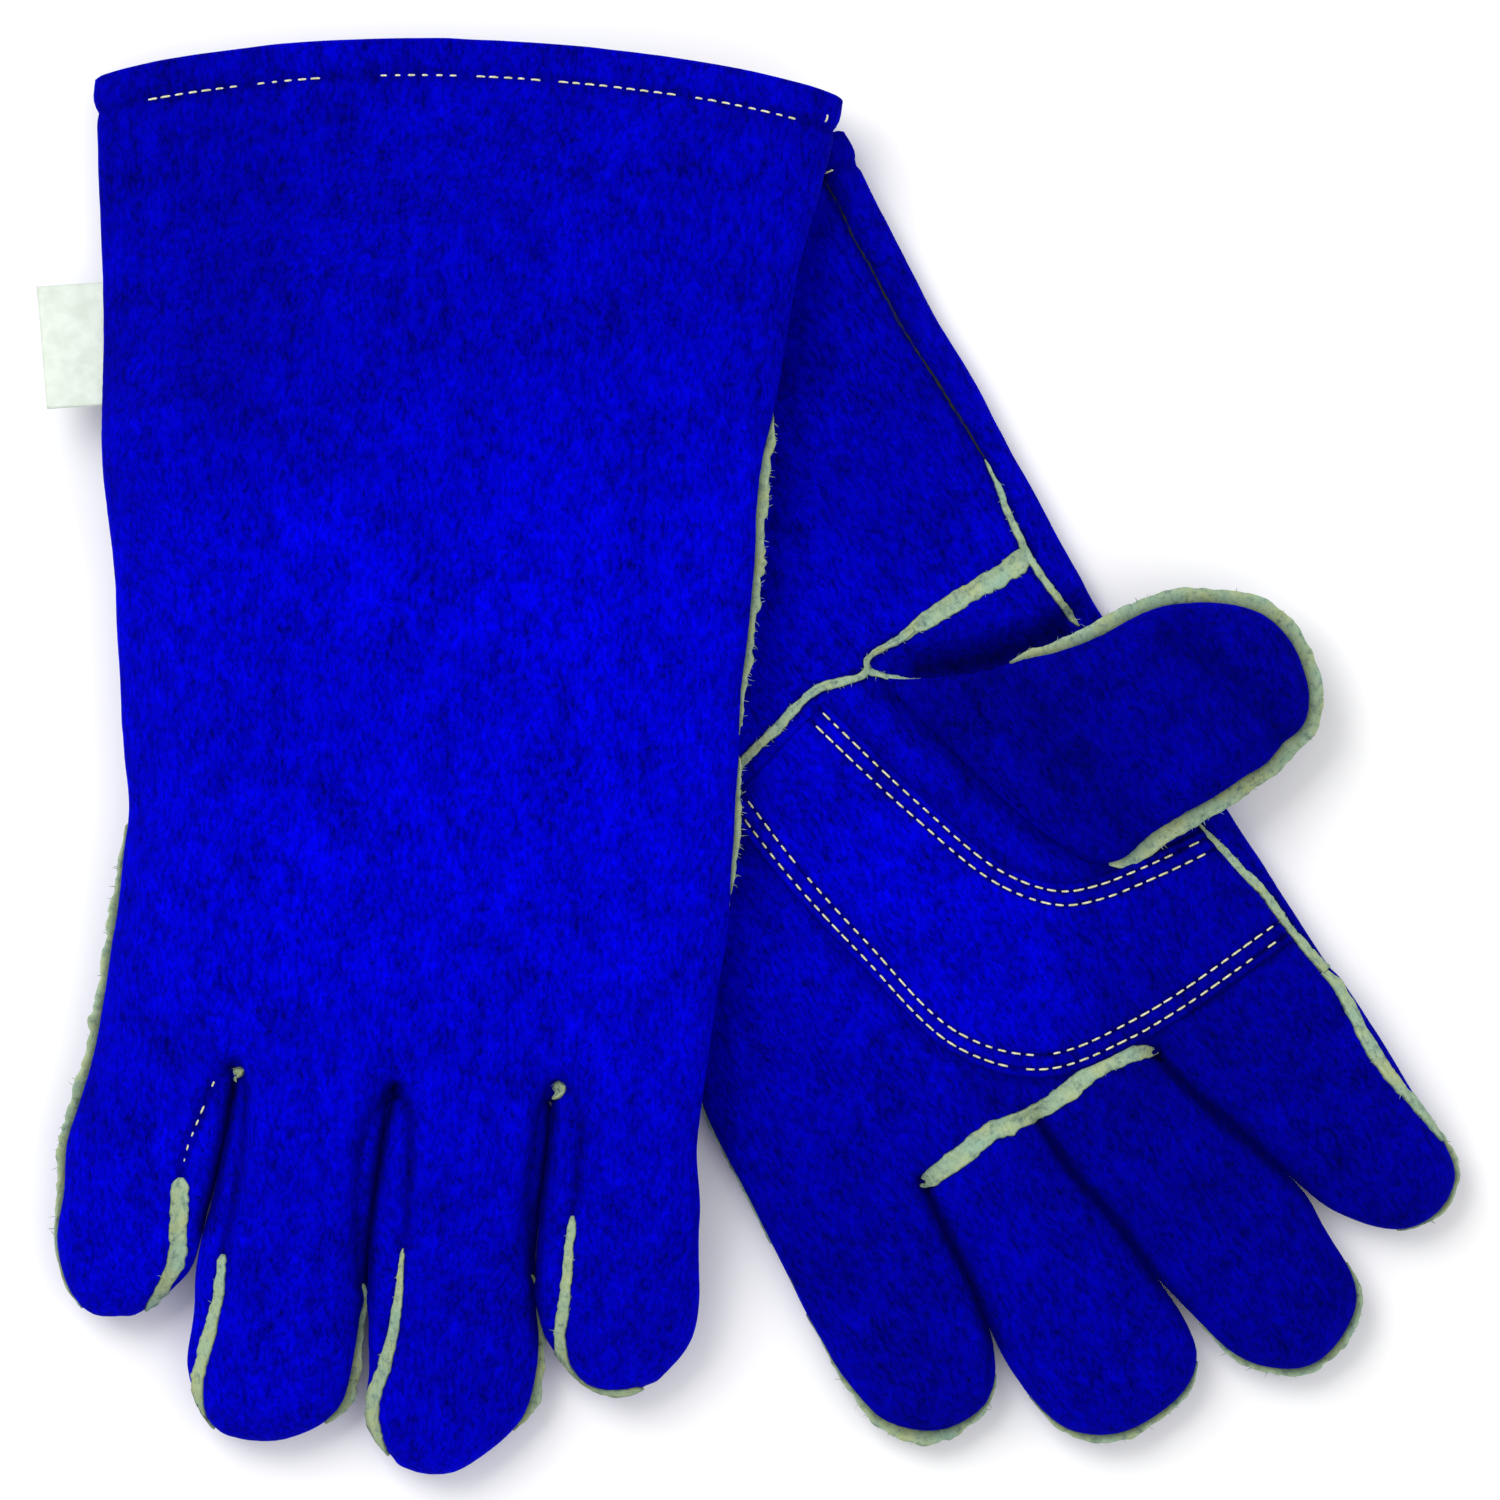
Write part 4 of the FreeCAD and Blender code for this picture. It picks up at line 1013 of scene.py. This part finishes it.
# Brightness of each glove along t, then across s.
TONES = {
    "right": ([(-97, 0.96), (-20, 1.04), (30, 1.18), (120, 1.14), (190, 0.92), (262, 0.84)],
              [(-78, 0.86), (-56, 0.95), (50, 1.0), (92, 0.92)]),
    "left": ([(-87, 0.60), (-20, 0.62), (10, 0.64), (60, 0.87), (118, 0.87), (245, 0.84)],
             [(-80, 1.04), (0, 1.0), (30, 0.93)])}


def hand_tone_and_shade(glove):
    """Brightness of the leather over a glove, darker towards its fingertips, with painted shade
    along its seams, down the gaps between its fingers and along the hem's row of stitches, and
    on the left glove under its thumb and along its patch's edges.
    """
    seams = (LEFT_SEAMS if glove is LEFT else RIGHT_BACK_SEAMS).values()
    # painted shade along the seams, where the leather folds in
    lines = [(smooth_line(line), 0.62, 1.3) for line in seams]
    # painted shadow along the left thumb's root, and painted shade in the pocket beside the thumb
    root = smooth_line([(15, 114), (20, 95), (26, 77), (33, 59), (40, 48)])
    pocket = smooth_line([(24, 112), (36, 107.6), (50, 104), (66, 103.5)])
    if glove is LEFT:
        # painted shade along both edges of the palm patch
        along = np.linspace(0.0, 1.0, 60)
        lines += [(patch_point(along, along * 0 + k)[0] + way * np.array([0.9, 0.4]), 0.35, 1.0)
                  for k, way in ((0, -1), (1, 1))]

    def tone_and_shade(points):
        s, t, z = points.T
        along, across = TONES[glove.name]
        shade = look_up(along, t) * look_up(across, s)
        upper = ramp(0.5 + (z - glove.mid(s, t)) / 3.0)
        if glove is RIGHT:
            shade *= 1.0 + 0.22 * ramp((-40.0 - s) / 8.0) * ramp(-t / 20.0)
            shade *= 1.0 - 0.20 * ramp((-15.0 - s) / 30.0) * ramp((t - 130.0) / 50.0)
        else:
            # the thumb's painted shadow and the pocket's painted shade, on the upper face only
            painted_shade_by_thumb = dark_line(points, root, 0.55, 4.2) * dark_line(points, pocket, 0.85, 5.0)
            shade *= 1.0 - upper * (1.0 - painted_shade_by_thumb)
        # painted shade along the seams and the patch's edges, on the upper face only
        for line in lines:
            shade *= 1.0 - upper * (1.0 - dark_line(points, *line))
        # painted shade down the gaps between the fingers
        for gap in GAPS[glove.name]:
            shade *= dark_line(points, smooth_line(gap), 0.96, 1.7)
        # painted shade along the hem's row of stitches
        shade *= 1.0 - 0.45 * bell(inboard(glove, points) - HEM_DEEP, 1.2)
        return shade * (1.0 + 0.12 * noise(points, 40.0, 3) + 0.09 * noise(points, 12.0, 4))
    return tone_and_shade


THUMB_FOLDS = [([(80, 90), (87.5, 78), (92.6, 66), (93.4, 54)], 0.35, 4.0),
               ([(38, 102), (43, 80), (50, 58)], 0.20, 6.0)]


def thumb_tone(points):
    """The thumb is in shade, more so along its two soft folds and towards its tip."""
    shade = 0.54 * (1.0 + 0.16 * noise(points, 26.0, 5) + 0.12 * noise(points, 9.0, 6))
    for fold, share, width in THUMB_FOLDS:
        shade *= dark_line(points, smooth_line(fold), share, width)
    return shade * (1.0 - 0.14 * ramp((points[:, 0] - 70.0) / 20.0))


# -------- one hand

def leather_panels(glove, skin, mesh):
    """The back, palm and cuff panels, cut out of the hand's skin along its seams."""
    s, t, z = mesh[0].T
    seam = look_up(glove.thumb_edge, t) - look_up(glove.seam_in, t) - s
    palm_side, back = cut(mesh, np.minimum((z - skin.mid(s, t)) * glove.palm, seam))
    wrist = smooth_line([(75, 126.5)] + LEFT_SEAMS["wrist"] + [(-80, 105)], 4.0).tolist()
    cuff, palm = cut(palm_side, palm_side[0][:, 1] - look_up(wrist, palm_side[0][:, 0]))
    for part, sheet in (("back_panel", back), ("palm_panel", palm), ("cuff_front_panel", cuff)):
        leather(glove, part + "_leather", sheet, hand_tone_and_shade(glove), [part])


def linings(glove, mesh):
    """Cotton in the hand, canvas in the cuff, and the leather turned in at the hem."""
    inside, hem = cut(mesh, inboard(glove, mesh[0]) - HEM_DEEP - 0.4)
    cuff, hand = cut(inside, inside[0][:, 1] - WRIST)
    for part, sheet in (("hand_lining", hand), ("cuff_lining", cuff)):
        points, faces, corner = shell(sheet, LINING_OUT, LINING_IN)
        make_piece(glove, part + "_cloth", points, faces, COTTON, [part], 1.0, corner)
    points, faces, corner = shell(hem, LEATHER + 0.05, 2 * LEATHER + 0.1)
    bead, bead_faces, bead_corner = hem_bead(glove, mesh)
    points, faces, _ = join([(points, faces, []), (bead, bead_faces, [])])
    make_piece(glove, "cuff_hem_leather", points, faces, BLUE, ["cuff_hem"],
               hand_tone_and_shade(glove)(points), np.vstack([corner, bead_corner]))


def hem_bead(glove, mesh):
    """The rolled edge round the cuff's mouth: a closed tube along the skin's rim."""
    points, normals, tris = mesh
    rim = rim_of(tris)
    rim = rim[(inboard(glove, points)[rim] < 0.5).all(axis=1)]
    after = dict(rim.tolist())
    loop = [int(rim[0, 0])]
    while after.get(loop[-1], loop[0]) != loop[0]:
        loop.append(after[loop[-1]])
    centre = points[loop]
    keep = np.linalg.norm(np.roll(centre, -1, axis=0) - centre, axis=1) > 0.35
    centre, normal = centre[keep], unit(normals[loop][keep] * (1.0, 0.0, 1.0))

    def beside(values):
        return np.roll(values, 1, axis=0) + np.roll(values, -1, axis=0)
    for _ in range(3):
        centre = 0.5 * centre + 0.25 * beside(centre)
        normal = unit(normal + 0.5 * beside(normal))
    radius = LEATHER + 0.1 + 0.12 * noise(centre, 7.0, 8)
    centre = centre - normal * (LEATHER - 0.05) + (0.0, -0.6, 0.0)
    turns = 2 * math.pi * np.arange(10) / 10
    outs = [normal * math.cos(a) + np.array([0.0, math.sin(a), 0.0]) for a in turns]
    ring, faces, _ = tube([centre + out * radius[:, None] for out in outs], [1.0] * 10, closed=True)
    flat = np.stack(outs, 1).reshape(-1, 3)
    a, b, c = ring[list(faces[0][:3])]
    if np.dot(np.cross(b - a, c - a), flat[faces[0][0]]) < 0:
        faces = [face[::-1] for face in faces]
    return ring, faces, flat[np.array(faces).ravel()]


def patch_point(along, across):
    """Points of the palm patch: along it from the wrist, across it towards the thumb."""
    sides = []
    for k in (0, 1):
        side = smooth_line([rung[k] for rung in PATCH], 2.0)
        run = run_length(side)
        sides.append(np.stack([np.interp(along * run[-1], run, row) for row in side.T], -1))
    a, b = sides
    return a + (b - a) * np.asarray(across)[..., None], np.linalg.norm(b - a, axis=-1)


def palm_patch(glove, skin):
    """The band of leather round the thumb's root.  Gives its rows of stitches."""
    level = float(glove.palm)
    rows, columns, long = 170, 76, 190.0
    along, across = [grid.ravel() for grid in np.meshgrid(
        np.linspace(0, 1, rows), np.linspace(0, 1, columns), indexing="ij")]
    plan, wide = patch_point(along, across)
    base, normals = skin.snap(plan, level)
    edge = np.minimum(np.minimum(across, 1 - across) * wide, np.minimum(along, 1 - along) * long)
    high = 1.35 * np.sqrt(np.clip(1 - (1 - np.clip(edge / 1.5, 0, 1)) ** 2, 0, 1)) + 0.05
    # painted shade on the patch's cut edge, within 0.8 mm of it
    shade = hand_tone_and_shade(glove)(base + (0.0, 0.0, 3.0)) * np.where(edge > 0.8, 1.0, 0.6)
    for inset in STITCH_INSETS:
        for x in (across * wide - inset, (1 - across) * wide - inset):
            high = high - 0.55 * bell(x, 0.9)
            # painted shade in the groove along each row of stitches
            shade *= 1.0 - 0.80 * bell(x, 0.55)
    high = high + 0.12 * noise(base, 6.0, 21)
    points, faces = slab(base + normals * high[:, None], base - normals * 0.3, rows, columns)
    if glove is RIGHT:
        faces = [face[::-1] for face in faces]
    else:
        shade *= look_up([(0, 1.15), (0.3, 1.30), (0.6, 1.45), (0.75, 1.1), (1, 0.9)], along)
        shade *= 0.86 + 0.14 * np.sin(math.pi * across)
    make_piece(glove, "palm_patch_leather", points, faces, BLUE, ["palm_patch"], np.tile(shade, 2))

    def on_patch(plan):
        points, normals = skin.snap(plan, level)
        return points + normals * PATCH_STITCH_HIGH, normals

    thread = []
    x = np.linspace(0.012, 0.988, 40)
    for side in (0, 1):
        for k, inset in enumerate(STITCH_INSETS):
            share = inset / patch_point(x, x * 0)[1]
            line, _ = patch_point(x, 1 - share if side else share)
            thread += stitches(on_patch, line, 0.22, 0.9 * k, 3 * side + k)
    return thread


def hand_stitches(glove, skin, thread):
    """The hem's row on both faces, with the patch's rows, as one piece of thread."""
    s0, s2 = glove.hem[0][0], glove.hem[2][0]
    s = np.linspace(s0 + 8.0, s2 - 8.0, 30)
    line = np.stack([s, hem_line(glove, s) - HEM_DEEP], 1)
    for k, level in enumerate((1.0, -1.0) if glove is RIGHT else (1.0,)):
        thread += stitches(lambda plan: skin.snap(plan, level), line, 0.2, 0.0, 11 + k, 0.12)
    if glove is RIGHT:
        corner = [(s2 - 7.4, hem_line(glove, s2 - 7.4) - HEM_DEEP + 0.6),
                  (s2 - 6.6, hem_line(glove, s2 - 6.6) - 1.5)]
        thread += stitches(skin.snap, corner, 0.2, 0.0, 17)
        thread += stitches(skin.snap, RIGHT_BACK_SEAMS["little"][1:5], 0.1, 0.0, 18, 0.3)
    made(glove, "stitching", thread, THREAD, ["thread"])


def hand_welts(glove, skin):
    if glove is LEFT:
        wrist, side = LEFT_SEAMS["wrist"], LEFT_SEAMS["cuff_side"]
        runs = [
            # a near-black strip in the cuff's side seam: painted shade standing for the shadow in its
            # fold
            band(skin, side[:4], 0.55, 0.12, 105, fibres=0, tone_and_shade=0.04),
            band(skin, side[3:], [0.6, 1.7, 2.1, 2.1, 1.7], 0.95, 101),
            band(skin, wrist[:7], [5.0, 5.2, 5.3, 4.8, 4.2, 3.4, 2.0], 0.6, 111, (0.10, 0.16)),
            band(skin, wrist[5:], [1.6, 1.8, 1.6, 1.7, 1.9, 2.1, 2.2, 2.4, 2.5, 2.4, 2.4, 2.4, 2.4],
                 1.1, 112, (0.16, 0.2), 0.8),
            band(skin, [(11.6, 118.8), (14.5, 115.6), (18.0, 112.9), (23, 110.4)],
                 [2.2, 1.8, 1.5, 0.4], 0.8, 121, (0.2, 0.2), 2.0),
            band(skin, LEFT_SEAMS["finger_base"],
                 [3.4, 4.4, 5.2, 5.3, 4.8, 4.6, 4.7, 4.7, 4.6, 4.0, 1.4], 0.75, 131, (0.14, 0.1)),
            band(skin, LEFT_SEAMS["index_side"], [0.5, 1.7, 2.2, 2.6, 2.4, 2.2, 2.6, 2.8],
                 0.9, 141, (0.18, 0.10), 1.0, (2.2, 0)),
            welt(skin, [(-69.6, 66), (-75.6, 46), (-76.8, 30), (-77, 12), (-78, -1.8)],
                 [0.3, 0.4, 0.4, 0.3, 0.2], 0, 0, 151)]
    else:
        runs = [
            welt(skin, [(-66.6, 66), (-69.2, 50), (-73, 25), (-75.6, 12), (-79, -1.8)],
                 [0.2, 1.6, 2.4, 2.4, 2.6], 0, 0.1, 201, fibres=0.4),
            welt(skin, [(94, 168), (92.3, 160), (91.2, 150), (89.3, 126), (86.8, 100), (85.6, 88)],
                 [0.0, 1.6, 2.4, 2.2, 1.4, 0.0], 10, 0.2, 211, 0.35, 1.5),
            welt(skin, [(85.4, 84), (84.9, 77), (84.1, 60), (83.0, 46)], [0, 1.5, 1.4, 0], 10, 0.2,
                 221, 0.35, 1.2),
            tuft(skin, (-38.2, 4.6), 231),
            tuft(skin, (40.8, 1.4), 232),
            band(skin, [(40.4, -1.4), (41.2, 0.4), (42.2, 1.6)], [2.0, 2.4, 1.4], 1.0, 233,
                 (0.15, 0.15), ends=(0.8, 0.8)),
            band(skin, [(-39.0, 2.8), (-38.2, 4.2), (-37.0, 5.0)], [0.8, 1.3, 0.8], 1.0, 234,
                 (0.3, 0.3), ends=(0.8, 0.8))]
    made(glove, "seam_welts_leather", sum(runs, []), WELT, ["seam_welts"])


def tuft(skin, place, seed):
    """A small bunch of fibres where a seam ends."""
    chance = np.random.default_rng(seed)
    points, normals = skin.snap([place])
    out = []
    for _ in range(9):
        lean = chance.uniform(-1, 1, 3) * (1.0, 1.0, 0.2)
        out.append(fibre(points[0] - normals[0] * 0.3, normals[0] * 0.6 + lean,
                         chance.uniform(1.5, 3.2), chance))
    return out


# -------- fingers

FINGER_WELTS = {
    # (route, how far it stands out, lean, level between the faces), or for a strip that lies
    # flat (route, width, None, lift)
    ("left", "little"): [([(-78.6, -4), (-78.9, -24), (-78.4, -38), (-75, -48), (-69, -54.4),
                           (-60, -57.6), (-50, -54.4), (-45, -49)],
                          [0.2, 0.3, 1.0, 2.6, 3.2, 2.5, 1.3, 0.2], 0, 0.1)],
    ("left", "ring"): [([(-40.4, -58), (-37.2, -69.6), (-30.5, -75.8), (-20, -78.8),
                         (-8, -77.8), (1.5, -72)], [0.2, 0.9, 1.7, 1.8, 1.5, 0.3], 0, 0.1)],
    ("left", "middle"): [([(5.6, -62), (9, -75.4), (16, -83.4), (27, -86.4), (37, -84.6),
                           (44.6, -77), (46.4, -68)], [0.2, 1.0, 1.7, 1.9, 1.9, 1.5, 0.3], 0, 0.1)],
    ("left", "index"): [
        ([(76.0, -1.6), (76.5, -13), (76.2, -25), (77.0, -34), (79.2, -44), (80.4, -53)],
         [2.8, 3.2, 3.6, 3.0, 2.0, 0.4], None, 0.7),
        ([(80.6, -44), (81.0, -56), (77.5, -64.5), (70, -68.0), (60, -66)],
         [0.4, 1.4, 1.5, 1.0, 0.2], 0, 0.1)],
    ("right", "little"): [
        ([(-79, -1.6), (-82, -13), (-83.3, -26), (-85, -37), (-82, -50), (-76, -56)],
         [2.6, 2.4, 1.5, 0.7, 0.4, 0.2], 0, 0.1),
        (RIGHT_BACK_SEAMS["little"][4:], [4.4, 4.7, 4.4, 3.2, 0.4], None, 0.65)],
    ("right", "ring"): [
        (RIGHT_BACK_SEAMS["ring"][4:], [2.2, 2.9, 3.4, 3.4, 3.0, 0.5], None, 0.7),
        ([(-8.2, -47), (-8.4, -57), (-9.6, -68), (-12.0, -77), (-16.4, -83)],
         [0.2, 1.2, 2.6, 2.4, 0.4], 25, 0.35)],
    ("right", "middle"): [
        (RIGHT_BACK_SEAMS["middle"][4:], [1.0, 2.2, 3.6, 3.8, 3.2, 0.6], None, 0.7),
        ([(34.6, -45), (35.8, -56), (36.2, -68), (34.4, -78), (30, -85)],
         [0.2, 1.0, 2.3, 2.2, 0.4], 25, 0.35)],
    ("right", "index"): [
        (RIGHT_BACK_SEAMS["index"][4:], [2.0, 2.9, 2.7, 3.6, 4.4, 4.2, 1.4], None, 0.7)],
}


def finger(glove, hand, name):
    """A finger of two panels and its lining, with its welts."""
    side_a, side_b = glove.fingers[name]
    own = Depth(finger_outline(glove, name))

    def depth(s, t):
        """The hand's depth at the knuckles, and the finger's own beyond them."""
        share = ramp((-3.5 - t) / 8.0)
        return hand.depth(s, t) * (1.0 - share) + own(s, t) * share

    skin = Skin(depth, hand.mid, hand.up, hand.down, hand.reach_up, hand.reach_down, hand.relief)
    low = (min(s for _, s in side_a) - 8.0, side_a[-1][0] - 8.0, -4.0)
    high = (max(s for _, s in side_b) + 8.0, KNUCKLE_CUT + 10.0, 40.0)
    mesh = skin.mesh(low, high, finger_keep(glove, name))
    mesh = cut(mesh, KNUCKLE_CUT - mesh[0][:, 1])[0]
    s = 0.5 * (side_a[0][1] + side_b[0][1])
    bend = name, (s, BEND_FROM), (s, BEND_TO)
    nodes = [name + part for part in ("_front", "_back", "_lining")]
    leather(glove, name + "_finger", mesh, hand_tone_and_shade(glove), nodes, bend)
    parts = []
    for i, (line, out, lean, level) in enumerate(FINGER_WELTS[(glove.name, name)]):
        seed = 300 + 40 * FINGERS.index(name) + 10 * i + (5 if glove is RIGHT else 0)
        if lean is None:
            parts += band(skin, line, out, level, seed, ends=(0 if line[0][1] > -3 else 2.2, 2.2))
        else:
            parts += welt(skin, line, out, lean, level, seed, fibres=0.35)
    made(glove, name + "_finger_welt", parts, WELT, [name + "_welt"], bend)


# -------- thumbs

STRIP_BACK = 1.2
LEFT_ROOT = [(47.6, 39.6), (58.4, 33.0), (76.5, 26.0), (93.3, 21.0), (110.2, 16.4), (116, 15)]


def behind_strip(line, along):
    """The left thumb's leather stops short of the strip that stands out round its end."""
    amount = STRIP_BACK * ramp((line[:, 0] - 44.0) / 10.0)
    return line + amount[:, None] * np.stack([along[:, 1], -along[:, 0]], 1)


def palm_top(s, t):
    """The height of the left palm, on which the thumb lies."""
    return 2 * LEFT.mid(np.minimum(s, 60.0), t)


def past_root(s, t):
    return 0.94 * (s - look_up(LEFT_ROOT, t))


def left_thumb_faces(s, t):
    droop = 5.0 * ramp((s - 62.0) / 48.0)
    top = palm_top(s, t) + 4.0 + 11.6 * ramp(past_root(s, t) / 36.0) - droop
    return top, palm_top(s, t) - 6.0 + 8.4 * ramp((past_root(s, t) - 5.0) / 18.0) - droop


def right_thumb_faces(s, t):
    return 12.7 + 3.0 * ramp((t - 60.0) / 20.0), 0.6 + 9.0 * ramp((t - 66.0) / 18.0)


def thumb(glove, seeds, faces, outline, line, strip, creases, start, end):
    """A thumb of two panels and its lining, and its welt: line is the welt's route, and
    strip how far it stands out, its lean and its level."""
    outline, line = smooth_line(outline, closed=True), np.array(line)
    if glove is LEFT:
        outline = behind_strip(outline, flow(outline))
        line = behind_strip(line, frames(line))

    def mid(s, t):
        return 0.5 * sum(faces(s, t))

    def half(s, t):
        top, bottom = faces(s, t)
        return 0.5 * (top - bottom)

    def relief(points, normals):
        high = sum(crease.height(points, normals) for crease in creases) + lumps(points, seeds[0], 0.9)
        return np.where(normals[:, 2] < -0.3, np.minimum(high, 0.2), high)

    skin = Skin(Depth(outline), mid, half, half, lambda s, t: 17.0, lambda s, t: 13.0, relief)
    mesh = skin.mesh((*skin.depth.low, -4.0), (*skin.depth.high, 42.0))
    bend = "thumb", start, end
    leather(glove, "thumb_leather", mesh, thumb_tone,
            ["thumb_front", "thumb_back", "thumb_lining"], bend)
    parts = welt(skin, line, *strip, seeds[1], 0.06, 0.7)
    made(glove, "thumb_welt_strip", parts, WELT, ["thumb_welt"], bend)


# -------- label

def side_label(glove, skin):
    """The blank woven label in the cuff's side seam, a little curled."""
    from_t, long, tucked_in, stands_out = 169.5, 31.0, 1.2, 15.8
    rows, columns = 34, 20
    y, x = [grid.ravel() for grid in np.meshgrid(
        np.linspace(0, 1, rows), np.linspace(0, 1, columns), indexing="ij")]
    t = from_t + long * y
    edge = look_up(glove.little_edge, t)
    s = edge + tucked_in - (stands_out - tucked_in + 2.8 * y) * x
    z = skin.mid(edge, t) + 0.9 + 1.5 * np.sin(1.9 * x + 0.6 * y) * x + 0.5 * np.sin(5.0 * y) * x
    top = np.stack([s, t - 1.1 * x, z], 1)
    points, faces = slab(top, top - (0.0, 0.0, 0.3), rows, columns)
    piece = make_piece(glove, "side_label_woven", points, faces, LABEL, ["side_label"])


# -------- the pair

def make_glove(glove, seed, **thumb_pattern):
    skin = hand_skin(glove, seed)
    low, high = skin.depth.low, skin.depth.high
    mesh = skin.mesh((low[0], KNUCKLE_CUT - 10.0, -4.0), (*high, 44.0))
    mesh = cut(mesh, mesh[0][:, 1] - KNUCKLE_CUT)[0]
    mesh = cut(mesh, inboard(glove, mesh[0]))[0]
    leather_panels(glove, skin, mesh)
    linings(glove, mesh)
    hand_stitches(glove, skin, palm_patch(glove, skin))
    hand_welts(glove, skin)
    for name in FINGERS:
        finger(glove, skin, name)
    thumb(glove, **thumb_pattern)
    return skin


make_glove(
    LEFT, 61, seeds=(41, 501), faces=left_thumb_faces, start=(26.0, 83.0), end=(50.0, 91.0),
    outline=[(15.2, 114.6), (18.6, 112.2), (29.4, 107.0), (41.5, 103.2), (50, 101.4),
             (66, 100.0), (82, 98.2), (95.4, 92.6), (105.0, 84), (108.6, 72.3), (106.2, 60.8),
             (100.0, 53.6), (89, 50), (66, 48.6), (41.2, 48.0), (33.0, 58.4), (26.0, 76.5),
             (21.0, 93.3), (16.6, 108.0)],
    line=[(44, 102.6), (50, 101.4), (66, 100.0), (82, 98.2), (95.4, 92.6), (105.0, 84),
          (108.6, 72.3), (106.2, 60.8), (100.0, 53.6), (89, 50), (66, 48.6), (52, 48.2),
          (45.6, 48.3), (42.2, 49.0)],
    strip=([0.4, 2.2, 3.3, 3.7, 3.9, 3.8, 3.7, 3.7, 3.9, 4.1, 4.2, 3.6, 2.6, 0.4],
           [14] * 9 + [10] * 5, [0.7, 0.5] + [0.25] * 12),
    creases=[Crease([(82, 88), (88.5, 78), (92.6, 66), (93.4, 54)], 3.6, 1.2),
             Crease([(60, 96), (62, 76), (58, 56)], 8.0, 0.9),
             Crease([(36, 104), (42, 80), (50, 58)], 7.0, 0.9),
             Crease([(70, 96), (78, 84), (80, 66)], 9.0, 0.8)])
right_skin = make_glove(
    RIGHT, 71, seeds=(51, 551), faces=right_thumb_faces, start=(1.0, 76.0), end=(1.0, 50.0),
    outline=[(-26, 92), (-26, 60), (-24.5, 45), (-21.5, 30), (-17, 17), (-9, 8), (1, 4.5),
             (12, 8), (19.5, 17), (24, 30), (26.5, 45), (28, 60), (29, 92)],
    line=[(-26, 70), (-25, 50), (-21.5, 30), (-17, 17), (-9, 8), (1, 4.5), (12, 8),
          (19.5, 17), (24, 30), (26.5, 45), (28, 68)],
    strip=([0.4] + [2.2] * 9 + [0.4], 0, 0.0),
    creases=[Crease([(-20, 40), (0, 44), (22, 40)], 6.0, 0.6, upper_only=False)])
side_label(RIGHT, right_skin)


# -------- floor, light and camera

def studio():
    mesh = bpy.data.meshes.new("floor")
    mesh.from_pydata([(-3, -3, 0), (3, -3, 0), (3, 3, 0), (-3, 3, 0)], [], [(0, 1, 2, 3)])
    mesh.materials.append(Material("floor_paper", 1.0, 0.0).done((0.93, 0.93, 0.93, 1), []))
    floor = bpy.data.objects.new("floor", mesh)
    floor.location.z = -0.0004
    bpy.context.scene.collection.objects.link(floor)

    world = bpy.data.worlds.new("studio")
    world.use_nodes = True
    world.node_tree.nodes["Background"].inputs[0].default_value = (1, 1, 1, 1)
    world.node_tree.nodes["Background"].inputs[1].default_value = 0.72
    bpy.context.scene.world = world
    for name, place, power, size in (("key", (-0.7, 0.7, 1.3), 16.0, 1.0),
                                     ("fill", (0.9, -0.3, 1.4), 5.0, 1.4)):
        light = bpy.data.lights.new(name, "AREA")
        light.energy, light.size = power, size
        lamp = bpy.data.objects.new(name, light)
        lamp.location = place
        direction = -lamp.location
        lamp.rotation_euler = direction.to_track_quat("-Z", "Y").to_euler()
        bpy.context.scene.collection.objects.link(lamp)

    view_wide, lens, middle_high = 0.372, 150.0, 0.012
    camera = bpy.data.objects.new("camera", bpy.data.cameras.new("camera"))
    camera.data.lens = lens
    camera.data.sensor_width = 36.0
    camera.location = (-0.0006, 0.0009, middle_high + view_wide * lens / 36.0)
    bpy.context.scene.collection.objects.link(camera)
    bpy.context.scene.camera = camera
    bpy.context.scene.view_settings.view_transform = "Standard"


studio()
